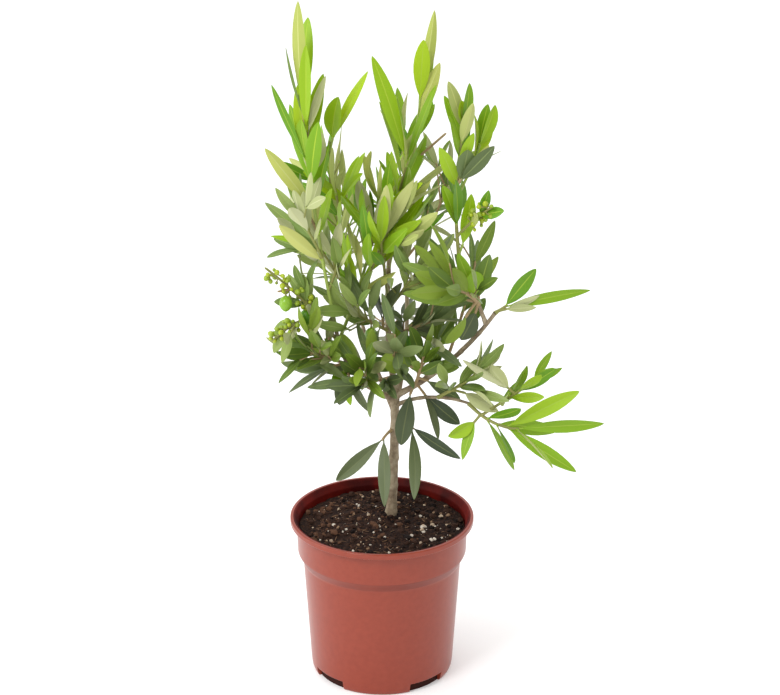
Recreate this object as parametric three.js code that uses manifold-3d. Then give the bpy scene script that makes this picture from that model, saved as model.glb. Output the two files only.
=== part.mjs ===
// A young olive tree in a 13 cm nursery pot, as an assembly of closed solids.
// Millimetres, +Z up. The origin is the middle of the pot's flat underside; +X is to the right and
// -Y is the side that the plant shows to its viewer.
import * as THREE from 'three';
import { mergeVertices } from 'three/addons/utils/BufferGeometryUtils.js';
import Module from 'manifold-3d';

const wasm = await Module();
wasm.setup();

// ---- driving dimensions -------------------------------------------------------------------------
const GAP = 0.3; // clearance that neighbouring solids keep
const SLIVER = 0.15; // edges shorter than this, which cutting and joining leave, are collapsed

const POT_HEIGHT = 118;
const POT_SIDES = 40;
const RIM_RADIUS = 65;
const RIM_HEIGHT = 4;
const RIM_ROUND = 0.9;
const COLLAR_RADIUS = 60.6;
const COLLAR_FOOT_RADIUS = 59.8;
const COLLAR_FOOT_Z = 92;
const WALL_TOP_RADIUS = 55.9;
const WALL_TOP_Z = 85;
const BASE_RADIUS = 50.6;
const BASE_CORNER_Z = 6; // where the wall starts to turn in towards the foot
const BASE_CORNER_IN = 1.6;
const BASE_ROUND_Z = 2.4; // the middle of that turn
const BASE_ROUND_IN = 0.5;
const POT_WALL = 1.6;
const FOOT_WIDTH = 2.6; // flat of the ring that the pot stands on
const FOOT_RISE = 7.2; // how far the floor is raised between that ring and the pad
const PAD_RADIUS = 30; // flat pad in the middle of the underside
const PAD_SLOPE = 2.5;
const NOTCHES = 4;
const NOTCH_ARC = 33; // degrees of the foot ring that a drain notch takes
const NOTCH_TURN = 40; // degrees from the front, towards +X, to the middle of the first notch
const NOTCH_HEIGHT = 6.8;
const DRAIN_HOLES = 8;
const DRAIN_RADIUS = 3.5;
const DRAIN_SIDES = 12;
const CUT_OVER = 2;

const SOIL_BELOW_RIM = 8.5;
const SOIL_MOUND = 2.5; // how much the soil rises to the flat patch that the trunk stands on
const SOIL_PATCH = 24; // radius of that patch
const TRUNK_X = 6.5;
const TRUNK_Y = 12;

const LIMB_STEP = 11; // length of one straight piece of a limb
const LIMB_SIDES = 7;
const FLARE_GAIN = 0.5; // root flare: extra radius at the foot, as a share
const FLARE_REACH = 7; // and the length in which most of it dies away

const TWIG_STEP = 16;
const TWIG_SIDES = 3;
const TWIG_FOOT = 1.3; // radius where a shoot leaves its bough
const TWIG_SIDE_FOOT = 1.0; // radius where a side shoot leaves its shoot
const TWIG_TIP = 0.8;

const LEAF_STEPS = 3;
const LEAF_SLIM = 6.8; // a leaf's width is this much
const LEAF_SPREAD = 0.06; // and this share of its length
const LEAF_THICK = 0.9;
const LEAF_STALK = 0.55; // half width of the stalk
const LEAF_SUNK = 0.3; // how far the stalk starts behind the middle of its twig
const FACE_OUT = 0.75; // how far a leaf turns its upper face out of the crown, from 0 to 1
const LIGHT = [-0.2, -0.9, 0.6]; // the side that the leaves lean their upper faces to
const AZIMUTH_STRAY = 20; // degrees by which leaves stray from their even places about the shoot
const TWIST_STRAY = 35; // degrees by which they twist about their own length
const ANGLE_STRAY = 0.25; // and the shares by which their angle, length and width vary
const SIZE_STRAY = 0.15;
const WIDTH_STRAY = 0.15;
const DROOP_MOST = 2; // most that a leaf bends back, as a share of its shoot's droop

const BERRY_RADIUS = 2.2;
const BERRY_LEAST = 0.8; // share of that radius that the smallest berries have
const BERRY_STALK = 6;
const BERRY_STALK_LEAST = 0.5;
const BERRY_LEAN = [0.2, 0.8]; // least and most that a berry leans towards the tip of its shoot
const BERRY_TURN = 137.5; // degrees about the shoot from one berry to the next
const BERRY_FROM = 0.4; // share of the shoot below the first berry
const OLIVE_RADIUS = 4.5;
const OLIVE_STALK = 9;
const OLIVE_HANG = { heading: 270, rise: -75 };
const STALK_RADIUS = 0.55;
const TIP = 0.99; // share of a shoot where its last leaves or fruit stand, sunk in its end

// ---- the plant's habit --------------------------------------------------------------------------
// Every limb and shoot is one arc. heading is its compass direction in plan (0 to the right, 90 to
// the back) and rise its angle above level, both where it starts; turn and lift are how much these
// change over its length. at is where it leaves the one it grows on, from 0 at its foot to 1. foot
// and tip are radii.
const LIMBS = [
  { name: 'trunk', length: 96, heading: 0, rise: 87, turn: 60, lift: 2, foot: 3.6, tip: 3.0 },
  { name: 'bough_left', on: 'trunk', at: 0.93, length: 79, heading: 193, rise: 25, turn: 24, lift: 58,
    foot: 2.2, tip: 1.3 },
  { name: 'bough_centre', on: 'trunk', at: 1, length: 104, heading: 150, rise: 78, turn: -100, lift: 8,
    foot: 2.4, tip: 1.4 },
  { name: 'bough_right', on: 'trunk', at: 0.96, length: 107, heading: 335, rise: 33, turn: 0, lift: 24,
    foot: 2.2, tip: 1.4 },
  { name: 'bough_right_upper', on: 'bough_right', at: 0.893, length: 52, heading: 177, rise: 70, turn: -18,
    lift: -4, foot: 1.4, tip: 1.1 },
  { name: 'bough_low', on: 'trunk', at: 0.88, length: 62, heading: 326, rise: 36, turn: 8, lift: -44,
    foot: 1.5, tip: 1.0 },
  { name: 'bough_back', on: 'trunk', at: 0.9, length: 92, heading: 70, rise: 38, turn: 25, lift: 38,
    foot: 1.9, tip: 1.2 },
  { name: 'bough_back_left', on: 'trunk', at: 0.82, length: 84, heading: 120, rise: 40, turn: 10, lift: 30,
    foot: 1.7, tip: 1.1 },
];

// A shoot grows on a limb, or on an earlier shoot of its mass, told by number. It carries its leaves
// in opposite pairs, each pair turned a quarter from the last. roll is the first pair's turn about
// the shoot, bare and till the shares of the shoot between which it has leaves, leaf the length of
// the longest leaf, low the share of it that the lowest leaves have, open and close the angle
// between leaf and shoot at its foot and its tip, pull how much its leaves strive up (or, below 0,
// hang), droop how far they bend back, face how much more firmly than others they face the light,
// and width makes them broader. Below 1, uneven makes a pair of one long slim leaf and one that is
// that share as long and as much broader. A mass keeps to a ball of its own: no leaf or fruit ends
// further than reach from the middle of its first shoot.
const HABIT = {
  turn: 0, lift: 0, pairs: 4, bare: 0.2, till: 1, leaf: 40, low: 0.7, roll: 0, open: 50, close: 16,
  pull: 0, droop: 0.1, face: 0, width: 1, uneven: 1, berries: 0, olives: 0,
};
const MASSES = [
  { name: 'leaves_top_left', reach: 160, shoots: [
    { on: 'bough_left', at: 1, length: 164, heading: 213, rise: 78, turn: -51, lift: 9, pairs: 7,
      leaf: 73, low: 0.5, close: 9, pull: 0.15, roll: 270, face: 2, width: 1.1, uneven: 0.88 },
    { on: 0, at: 0.18, length: 104, heading: 20, rise: 62, turn: 190, lift: 25, till: 0.78, pairs: 4,
      leaf: 50, pull: 0.2, roll: 40 },
    { on: 0, at: 0.33, length: 36, heading: 237, rise: 59, turn: -19, pairs: 3, leaf: 34, pull: 0.2 },
    { on: 1, at: 0.95, length: 8, heading: 350, rise: 77, pairs: 1, leaf: 54, close: 12, roll: 60,
      face: 2, width: 1.45, uneven: 0.6 },
  ] },
  { name: 'leaves_left_crown', reach: 95, shoots: [
    { on: 'bough_left', at: 0.86, length: 100, heading: 40, rise: 60, lift: 14, pairs: 6, leaf: 46,
      pull: 0.1 },
    { on: 0, at: 0.35, length: 50, heading: 330, rise: 55, lift: 20, pairs: 3, leaf: 50 },
    { on: 0, at: 0.3, length: 45, heading: 200, rise: 60, pairs: 3, leaf: 34 },
  ] },
  { name: 'leaves_left', reach: 65, shoots: [
    { on: 'bough_left', at: 0.84, length: 78, heading: 192, rise: 58, turn: 4, lift: -16, till: 0.5,
      pairs: 2, leaf: 27, berries: 12, olives: 1 },
    { on: 0, at: 0.36, length: 34, heading: 200, rise: -10, lift: -30, till: 0.7, pairs: 2, leaf: 24,
      berries: 8 },
  ] },
  { name: 'leaves_left_low', reach: 55, shoots: [
    { on: 'bough_left', at: 0.6, length: 34, heading: 215, rise: 28, leaf: 31 },
    { on: 0, at: 0.1, length: 12, heading: 200, rise: -5, pairs: 2, leaf: 36 },
    { on: 0, at: 0.06, length: 10, heading: 280, rise: -25, pairs: 1, leaf: 32, close: 30, pull: -0.5,
      width: 1.3, uneven: 0.7 },
  ] },
  { name: 'leaves_inner_left', reach: 55, shoots: [
    { on: 'bough_centre', at: 0.42, length: 38, heading: 224, rise: 34, turn: -11, leaf: 33, olives: 1 },
  ] },
  { name: 'leaves_inner_right', reach: 55, shoots: [
    { on: 'bough_centre', at: 0.38, length: 42, heading: 310, rise: 29, turn: 19, leaf: 35, olives: 1 },
  ] },
  { name: 'leaves_front', reach: 60, shoots: [
    { on: 'bough_centre', at: 0.22, length: 45, heading: 275, rise: 29, leaf: 38, pull: -0.1 },
  ] },
  { name: 'leaves_right_inner', reach: 45, shoots: [
    { on: 'bough_right', at: 0.27, length: 28, heading: 350, rise: 75, pairs: 2, leaf: 30 },
  ] },
  { name: 'leaves_skirt_left', reach: 60, shoots: [
    { on: 'trunk', at: 0.7, length: 12, heading: 225, rise: 0, lift: -40, pairs: 1, leaf: 52, close: 30,
      pull: -0.4 },
  ] },
  { name: 'leaves_skirt_right', reach: 60, shoots: [
    { on: 'trunk', at: 0.8, length: 18, heading: 312, rise: 10, lift: -38, pairs: 1, leaf: 58, close: 28,
      pull: -0.3, roll: 180, width: 1.15, uneven: 0.8 },
  ] },
  { name: 'leaves_centre', reach: 120, shoots: [
    { on: 'bough_centre', at: 1, length: 66, heading: 289, rise: 76, turn: 64, pairs: 4, leaf: 62,
      low: 0.6, close: 24, pull: 0.1, roll: 70 },
    { on: 0, at: 0.97, length: 6, heading: 194, rise: 83, pairs: 1, leaf: 88, close: 7, width: 1.55,
      roll: 90, face: 2, uneven: 0.65 },
  ] },
  { name: 'leaves_centre_top', reach: 120, shoots: [
    { on: 'bough_centre', at: 0.86, length: 120, heading: 41, rise: 72, turn: -20, lift: 11, pairs: 6,
      leaf: 70, low: 0.55, close: 10, pull: 0.2, face: 2, width: 1.15, uneven: 0.75 },
  ] },
  { name: 'leaves_right_top', reach: 85, shoots: [
    { on: 'bough_right_upper', at: 1, length: 88, heading: 139, rise: 81, turn: -121, pairs: 7, leaf: 36,
      pull: 0.2 },
    { on: 0, at: 0.45, length: 40, heading: 48, rise: 47, lift: 14, pairs: 3, leaf: 34, pull: 0.2 },
    { on: 0, at: 0.16, length: 36, heading: 330, rise: 52, lift: -15, till: 0.7, pairs: 2, leaf: 24,
      berries: 8 },
  ] },
  { name: 'leaves_right_mid', reach: 60, shoots: [
    { on: 'bough_right_upper', at: 0.3, length: 36, heading: 248, rise: 44, turn: -26, lift: -19,
      leaf: 38, width: 1.15 },
    { on: 0, at: 0.15, length: 12, heading: 225, rise: -40, pairs: 1, leaf: 36, width: 1.5, pull: -0.5,
      uneven: 0.7 },
  ] },
  { name: 'leaves_right_far', reach: 75, shoots: [
    { on: 'bough_right', at: 1, length: 8, heading: 17, rise: 29, pairs: 1, leaf: 64, close: 21,
      roll: 90, width: 1.3, uneven: 0.58 },
  ] },
  { name: 'leaves_right_low', reach: 92, shoots: [
    { on: 'bough_low', at: 1, length: 42, heading: 325, rise: -38, lift: 50, leaf: 70, low: 0.4,
      close: 34, roll: 90 },
    { on: 0, at: 0.3, length: 36, heading: 334, rise: 40, pairs: 3, leaf: 32, width: 1.1 },
  ] },
  { name: 'leaves_low_mid', reach: 55, shoots: [
    { on: 'bough_low', at: 0.62, length: 34, heading: 313, rise: 36, pairs: 3, leaf: 34 },
  ] },
  { name: 'leaves_mid_left', reach: 55, shoots: [
    { on: 'bough_centre', at: 0.1, length: 40, heading: 238, rise: 12, leaf: 36 },
  ] },
  { name: 'leaves_heart', reach: 70, shoots: [
    { on: 'bough_centre', at: 0.66, length: 60, heading: 262, rise: 58, leaf: 38, roll: 30 },
  ] },
  { name: 'leaves_upper_right', reach: 60, shoots: [
    { on: 'bough_centre', at: 0.56, length: 50, heading: 308, rise: 50, leaf: 36 },
  ] },
  { name: 'leaves_fork', reach: 55, shoots: [
    { on: 'bough_right', at: 0.18, length: 40, heading: 282, rise: 52, leaf: 34, roll: 45 },
  ] },
  { name: 'leaves_low_left', reach: 50, shoots: [
    { on: 'bough_left', at: 0.33, length: 36, heading: 272, rise: 40, leaf: 34, roll: 20 },
  ] },
  { name: 'leaves_back', reach: 90, shoots: [
    { on: 'bough_back', at: 1, length: 95, heading: 95, rise: 72, pairs: 6, leaf: 42, pull: 0.2 },
    { on: 0, at: 0.15, length: 58, heading: 30, rise: 40, lift: 30, leaf: 38 },
    { on: 0, at: 0.08, length: 44, heading: 90, rise: 20, pairs: 3, leaf: 36 },
  ] },
  { name: 'leaves_back_left', reach: 90, shoots: [
    { on: 'bough_back_left', at: 1, length: 90, heading: 130, rise: 66, lift: 10, pairs: 6, leaf: 42,
      pull: 0.2 },
    { on: 0, at: 0.15, length: 50, heading: 155, rise: 30, lift: 20, leaf: 38 },
    { on: 0, at: 0.08, length: 40, heading: 110, rise: 10, pairs: 3, leaf: 34 },
  ] },
  { name: 'leaves_back_low', reach: 60, shoots: [
    { on: 'bough_back', at: 0.45, length: 45, heading: 105, rise: 5, leaf: 38, pull: -0.2 },
  ] },
  { name: 'leaves_back_right', reach: 75, shoots: [
    { on: 'bough_right', at: 0.45, length: 75, heading: 60, rise: 45, lift: 20, pairs: 5, leaf: 40 },
  ] },
];

// ---- seeded chance ------------------------------------------------------------------------------
const SEED_SPREAD = 7919;
const CHANCE_FACTOR = 16807;
const CHANCE_MODULUS = 2147483647;

function chance(seed) {
  let state = (seed * SEED_SPREAD) % CHANCE_MODULUS;
  return (low, high) => {
    state = (state * CHANCE_FACTOR) % CHANCE_MODULUS;
    return low + ((high - low) * state) / CHANCE_MODULUS;
  };
}

// ---- solids -------------------------------------------------------------------------------------
const { degToRad, lerp } = THREE.MathUtils;

function solid(geometry) {
  geometry.deleteAttribute('normal');
  geometry.deleteAttribute('uv');
  const welded = mergeVertices(geometry, 1e-4);
  return new wasm.Manifold(new wasm.Mesh({
    numProp: 3,
    vertProperties: new Float32Array(welded.attributes.position.array),
    triVerts: new Uint32Array(welded.index.array),
  }));
}

function geometryOf(body) {
  const mesh = body.getMesh();
  const geometry = new THREE.BufferGeometry();
  geometry.setAttribute('position', new THREE.BufferAttribute(mesh.vertProperties, 3));
  geometry.setIndex(new THREE.BufferAttribute(mesh.triVerts, 1));
  geometry.computeVertexNormals();
  return geometry;
}

// Loose scraps and sealed hollows are shells of their own, so the largest shell is the whole piece.
function wholePiece(body) {
  return body.asOriginal().simplify(SLIVER).decompose().sort((a, b) => b.volume() - a.volume())[0];
}

function touches(a, b) {
  const [p, q] = [a.boundingBox(), b.boundingBox()];
  for (let k = 0; k < 3; k += 1) {
    if (p.min[k] > q.max[k] + GAP || q.min[k] > p.max[k] + GAP) return false;
  }
  return a.minGap(b, 2 * GAP) < GAP;
}

// ---- pot and soil -------------------------------------------------------------------------------
// A ring-shaped or full body of revolution about the pot's upright middle line.
function turned(outline) {
  return solid(new THREE.LatheGeometry(outline, POT_SIDES).rotateX(Math.PI / 2));
}

const point = (radius, z) => new THREE.Vector2(radius, z);

// The pot's inner face from the middle of its floor up to a height, stood off by a clearance.
function innerFace(clear, topZ) {
  const inset = POT_WALL + clear;
  const floorZ = POT_WALL + clear;
  const collarSlope = (COLLAR_RADIUS - COLLAR_FOOT_RADIUS) / (POT_HEIGHT - RIM_HEIGHT - COLLAR_FOOT_Z);
  const topRadius = COLLAR_FOOT_RADIUS - inset + collarSlope * (topZ - COLLAR_FOOT_Z);
  return [
    point(0, floorZ),
    point(PAD_RADIUS - POT_WALL - clear, floorZ),
    point(PAD_RADIUS + PAD_SLOPE - POT_WALL - clear, floorZ + FOOT_RISE),
    point(BASE_RADIUS - inset, floorZ + FOOT_RISE),
    point(WALL_TOP_RADIUS - inset, WALL_TOP_Z),
    point(COLLAR_FOOT_RADIUS - inset, COLLAR_FOOT_Z),
    point(topRadius, topZ),
  ];
}

function potOutside() {
  const footOut = BASE_RADIUS - BASE_CORNER_IN;
  const rimZ = POT_HEIGHT - RIM_HEIGHT;
  return [
    point(0, 0),
    point(PAD_RADIUS, 0),
    point(PAD_RADIUS + PAD_SLOPE, FOOT_RISE),
    point(footOut - FOOT_WIDTH - 1, FOOT_RISE),
    point(footOut - FOOT_WIDTH, 0),
    point(footOut, 0),
    point(BASE_RADIUS - BASE_ROUND_IN, BASE_ROUND_Z),
    point(BASE_RADIUS, BASE_CORNER_Z),
    point(WALL_TOP_RADIUS, WALL_TOP_Z),
    point(COLLAR_FOOT_RADIUS, COLLAR_FOOT_Z),
    point(COLLAR_RADIUS, rimZ),
    point(RIM_RADIUS - RIM_ROUND, rimZ),
    point(RIM_RADIUS, rimZ + RIM_ROUND),
    point(RIM_RADIUS, POT_HEIGHT - RIM_ROUND),
    point(RIM_RADIUS - RIM_ROUND, POT_HEIGHT),
  ];
}

// The blocks that cut notches and holes reach CUT_OVER past the faces that they open.
function drainNotch(turn) {
  const half = degToRad(NOTCH_ARC / 2);
  const sector = new THREE.Shape();
  sector.absarc(0, 0, BASE_RADIUS + CUT_OVER, -half, half, false);
  sector.absarc(0, 0, BASE_RADIUS - BASE_CORNER_IN - FOOT_WIDTH - CUT_OVER, half, -half, true);
  const extent = { depth: NOTCH_HEIGHT + CUT_OVER, bevelEnabled: false, curveSegments: 6 };
  const block = new THREE.ExtrudeGeometry(sector, extent);
  return solid(block.translate(0, 0, -CUT_OVER).rotateZ(degToRad(turn - 90)));
}

function drainHole(turn) {
  const radius = (PAD_RADIUS + PAD_SLOPE + BASE_RADIUS - BASE_CORNER_IN - FOOT_WIDTH) / 2;
  const drill = new THREE.CylinderGeometry(DRAIN_RADIUS, DRAIN_RADIUS, 3 * FOOT_RISE, DRAIN_SIDES);
  return solid(drill.rotateX(Math.PI / 2).translate(radius, 0, FOOT_RISE).rotateZ(degToRad(turn)));
}

function potBody() {
  const rimTop = point(RIM_RADIUS - RIM_HEIGHT + RIM_ROUND, POT_HEIGHT);
  const inside = innerFace(0, POT_HEIGHT - RIM_HEIGHT / 2);
  let body = turned([...potOutside(), rimTop, ...inside.reverse()]);
  for (let k = 0; k < NOTCHES; k += 1) body = body.subtract(drainNotch(NOTCH_TURN + (360 / NOTCHES) * k));
  for (let k = 0; k < DRAIN_HOLES; k += 1) body = body.subtract(drainHole((360 / DRAIN_HOLES) * k));
  return wholePiece(body);
}

function soilBody() {
  const edgeZ = POT_HEIGHT - SOIL_BELOW_RIM;
  const side = innerFace(GAP, edgeZ);
  return turned([...side, point(SOIL_PATCH, edgeZ + SOIL_MOUND), point(0, edgeZ + SOIL_MOUND)]);
}

// ---- arcs and the bodies along them -------------------------------------------------------------
const UP = new THREE.Vector3(0, 0, 1);

function direction(heading, rise) {
  const h = degToRad(heading);
  const r = degToRad(rise);
  return new THREE.Vector3(Math.cos(h) * Math.cos(r), Math.sin(h) * Math.cos(r), Math.sin(r));
}

// The stations of an arc: each has its place, its direction and two directions across it.
function arc(start, { length, heading, rise, turn, lift }, steps) {
  const stations = [];
  const place = start.clone();
  let across = UP.clone().cross(direction(heading, 0));
  for (let i = 0; i <= steps; i += 1) {
    const t = i / steps;
    const along = direction(heading + turn * t, rise + lift * t);
    across = across.clone().addScaledVector(along, -across.dot(along)).normalize();
    stations.push({ t, place: place.clone(), along, across, over: across.clone().cross(along) });
    const half = t + 0.5 / steps;
    place.addScaledVector(direction(heading + turn * half, rise + lift * half), length / steps);
  }
  return stations;
}

// The place and directions at any share of the length of a row of stations.
function stationAt(stations, t) {
  const last = stations.length - 1;
  const k = Math.min(Math.floor(t * last), last - 1);
  const [a, b] = [stations[k], stations[k + 1]];
  const mixed = (key) => a[key].clone().lerp(b[key], t * last - k);
  const [along, across] = [mixed('along').normalize(), mixed('across').normalize()];
  return { t, place: mixed('place'), along, across, over: across.clone().cross(along) };
}

// The direction that points away from a station's middle line at an angle about it.
function around({ across, over }, azimuth) {
  return across.clone().multiplyScalar(Math.cos(azimuth)).addScaledVector(over, Math.sin(azimuth));
}

// Bends a cylinder or cone of height 1 so that its rings follow the stations.
function sweep(geometry, stations, halfWidth, halfThick) {
  const position = geometry.attributes.position;
  const last = stations.length - 1;
  for (let i = 0; i < position.count; i += 1) {
    const s = stations[Math.round((position.getY(i) + 0.5) * last)];
    const moved = s.place.clone()
      .addScaledVector(s.across, position.getX(i) * halfWidth(s.t))
      .addScaledVector(s.over, position.getZ(i) * halfThick(s.t));
    position.setXYZ(i, moved.x, moved.y, moved.z);
  }
  return solid(geometry);
}

function rod(stations, radius, sides) {
  return sweep(new THREE.CylinderGeometry(1, 1, 1, sides, stations.length - 1), stations, radius, radius);
}

function limbBody({ limb, stations }, extra) {
  const flare = (t) => (limb.on ? 0 : FLARE_GAIN * Math.exp((-t * limb.length) / FLARE_REACH));
  return rod(stations, (t) => lerp(limb.foot, limb.tip, t) * (1 + flare(t)) + extra, LIMB_SIDES);
}

// ---- leaves and fruit ---------------------------------------------------------------------------
// A leaf is a slim cone of three sides, flat above and with a keel along its midrib below.
function leafBody({ place, along, above, size, width, droop }) {
  const start = place.clone().addScaledVector(along, -LEAF_SUNK);
  const across = along.clone().cross(above);
  const stations = [];
  for (let i = 0; i <= LEAF_STEPS; i += 1) {
    const t = i / LEAF_STEPS;
    const middle = start.clone().addScaledVector(along, size * t);
    middle.addScaledVector(above, -droop * size * t * t);
    stations.push({ t, place: middle, along, across, over: above });
  }
  const side = Math.cos(Math.PI / 6); // the half width of a triangle in a circle of radius 1
  // the cone itself thins evenly to its tip, which dividing by 1 - t takes back
  const halfWidth = (t) => (t === 0 ? LEAF_STALK : width / 2) / side / (1 - t || 1);
  const halfThick = (t) => (t === 0 ? LEAF_STALK : LEAF_THICK / 1.5) / (1 - t || 1);
  const cone = new THREE.ConeGeometry(1, 1, 3, LEAF_STEPS).rotateY(Math.PI);
  return sweep(cone, stations, halfWidth, halfThick);
}

// A round fruit on a stalk of its own.
function fruitBody({ place, along, size, radius }) {
  const across = new THREE.Vector3().crossVectors(along, direction(0, 0)).normalize();
  const over = across.clone().cross(along);
  const end = place.clone().addScaledVector(along, size);
  const stations = [{ t: 0, place, along, across, over }, { t: 1, place: end, along, across, over }];
  const halfWidth = () => STALK_RADIUS;
  const stalk = sweep(new THREE.ConeGeometry(1, 1, 3, 1), stations, halfWidth, halfWidth);
  const Round = radius > BERRY_RADIUS ? THREE.IcosahedronGeometry : THREE.OctahedronGeometry;
  return stalk.add(solid(new Round(radius, 0).translate(...end.toArray())));
}

// ---- growing ------------------------------------------------------------------------------------
function growLimbs() {
  const limbs = {};
  for (const limb of LIMBS) {
    const parent = limbs[limb.on];
    const trunkFoot = new THREE.Vector3(TRUNK_X, TRUNK_Y, POT_HEIGHT - SOIL_BELOW_RIM + SOIL_MOUND + GAP);
    const start = parent ? stationAt(parent.stations, limb.at).place : trunkFoot;
    const grown = { limb, stations: arc(start, limb, Math.round(limb.length / LIMB_STEP)) };
    grown.body = limbBody(grown, 0);
    for (const older of Object.values(limbs)) grown.body = grown.body.subtract(limbBody(older, GAP));
    grown.body = wholePiece(grown.body);
    limbs[limb.name] = grown;
  }
  return limbs;
}

function growShoots(mass, limbs, number) {
  const grown = [];
  mass.shoots.forEach((row, index) => {
    const shoot = { ...HABIT, ...row };
    const isSide = typeof shoot.on === 'number';
    const parent = isSide ? grown[shoot.on] : limbs[shoot.on];
    const start = stationAt(parent.stations, shoot.at).place;
    const stations = arc(start, shoot, Math.max(2, Math.round(shoot.length / TWIG_STEP)));
    const body = rod(stations, (t) => lerp(isSide ? TWIG_SIDE_FOOT : TWIG_FOOT, TWIG_TIP, t), TWIG_SIDES);
    grown.push({ shoot, stations, body, draw: chance(100 * number + index) });
  });
  return grown;
}

// The direction in which a leaf shows its upper face: out of the crown and to the light.
function outward(place) {
  return new THREE.Vector3(place.x - TRUNK_X, place.y - TRUNK_Y, 0).normalize()
    .add(new THREE.Vector3(...LIGHT));
}

// The leaves of one shoot: opposite pairs at even steps, the last one at its tip.
function leafPlan({ shoot, stations, draw }) {
  const plan = [];
  for (let k = 0; k < shoot.pairs; k += 1) {
    const t = lerp(shoot.bare, shoot.till, (k + TIP) / shoot.pairs);
    const node = stationAt(stations, Math.min(t, TIP));
    for (let side = 0; side < 2; side += 1) {
      const stray = draw(-AZIMUTH_STRAY, AZIMUTH_STRAY);
      const out = around(node, degToRad(shoot.roll + 90 * k + 180 * side + stray));
      const angle = degToRad(lerp(shoot.open, shoot.close, t) * draw(1 - ANGLE_STRAY, 1 + ANGLE_STRAY));
      const share = side ? shoot.uneven : 1;
      const size = share * shoot.leaf * lerp(shoot.low, 1, t) * draw(1 - SIZE_STRAY, 1);
      const slim = ((LEAF_SLIM + LEAF_SPREAD * size) * shoot.width * shoot.uneven) / share;
      const width = slim * draw(1 - WIDTH_STRAY, 1 + WIDTH_STRAY);
      const twist = degToRad(draw(-TWIST_STRAY, TWIST_STRAY)) / (1 + shoot.face);
      const droop = shoot.droop * draw(0, DROOP_MOST);
      const along = node.along.clone().multiplyScalar(Math.cos(angle))
        .addScaledVector(out, Math.sin(angle))
        .addScaledVector(UP, shoot.pull)
        .normalize();
      const above = out.multiplyScalar(FACE_OUT - 1).addScaledVector(outward(node.place), FACE_OUT);
      above.addScaledVector(new THREE.Vector3(...LIGHT), shoot.face);
      above.addScaledVector(along, -above.dot(along)).normalize().applyAxisAngle(along, twist);
      plan.push({ place: node.place, along, above, size, width, droop });
    }
  }
  return plan;
}

// Berries stand off the outer part of their shoot all round; an olive hangs from its middle.
function fruitPlan({ shoot, stations, draw }) {
  const plan = [];
  for (let k = 0; k < shoot.berries; k += 1) {
    const node = stationAt(stations, lerp(BERRY_FROM, TIP, k / shoot.berries));
    const out = around(node, degToRad(BERRY_TURN * k));
    const along = out.addScaledVector(node.along, draw(...BERRY_LEAN)).normalize();
    const size = BERRY_STALK * draw(BERRY_STALK_LEAST, 1);
    plan.push({ place: node.place, along, size, radius: BERRY_RADIUS * draw(BERRY_LEAST, 1) });
  }
  for (let k = 0; k < shoot.olives; k += 1) {
    const { place } = stationAt(stations, 0.5);
    const along = direction(OLIVE_HANG.heading, OLIVE_HANG.rise);
    plan.push({ place, along, size: OLIVE_STALK, radius: OLIVE_RADIUS });
  }
  return plan;
}

// The leaves and fruit of a mass that end inside its own ball.
function withinReach({ mass, shoots }) {
  const middle = stationAt(shoots[0].stations, 0.5).place;
  const inside = ({ place, along, size }) => {
    const end = place.clone().addScaledVector(along, size);
    return end.distanceTo(middle) < mass.reach;
  };
  return shoots.flatMap((grown) => [
    ...leafPlan(grown).filter(inside).map(leafBody),
    ...fruitPlan(grown).filter(inside).map(fruitBody),
  ]);
}

function growPlant(neighbours) {
  const limbs = growLimbs();
  const masses = MASSES.map((mass, number) => ({ mass, shoots: growShoots(mass, limbs, number + 1) }));
  masses.forEach((m) => { m.parts = m.shoots.map(({ body }) => body); });
  const fixed = [...neighbours, ...Object.values(limbs).map(({ body }) => body)];
  for (const m of masses) {
    const others = masses.filter((other) => other !== m).flatMap(({ parts }) => parts).concat(fixed);
    for (const body of withinReach(m)) {
      if (!others.some((other) => touches(body, other))) m.parts.push(body);
    }
  }
  const bodies = {};
  for (const [name, { body }] of Object.entries(limbs)) bodies[name] = body;
  for (const { mass, parts } of masses) {
    const cut = wasm.Manifold.union(Object.values(limbs).map((grown) => limbBody(grown, GAP)));
    bodies[mass.name] = wholePiece(wasm.Manifold.union(parts).subtract(cut));
  }
  return bodies;
}

// ---- assembly -----------------------------------------------------------------------------------
const group = new THREE.Group();

function addPart(name, body, material) {
  const mesh = new THREE.Mesh(geometryOf(body), material);
  mesh.name = name;
  group.add(mesh);
}

const plastic = new THREE.MeshStandardMaterial({ color: 0xa85041, roughness: 0.45, metalness: 0 });
const earth = new THREE.MeshStandardMaterial({ color: 0x3c2319, roughness: 0.95, metalness: 0 });
const bark = new THREE.MeshStandardMaterial({ color: 0xa5917f, roughness: 0.85, metalness: 0 });
const foliage = new THREE.MeshStandardMaterial({ color: 0x5f8a3c, roughness: 0.5, metalness: 0 });

const pot = potBody();
const soil = soilBody();
addPart('pot', pot, plastic);
addPart('soil', soil, earth);
for (const [name, body] of Object.entries(growPlant([pot, soil]))) {
  addPart(name, body, name.startsWith('leaves') ? foliage : bark);
}

export default group;
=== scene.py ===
"""Looks of the potted olive tree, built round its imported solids. Lengths are in mm until they are placed."""
import math
from itertools import combinations

import bpy
import numpy as np
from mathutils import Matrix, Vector, noise
from mathutils.bvhtree import BVHTree


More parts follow.
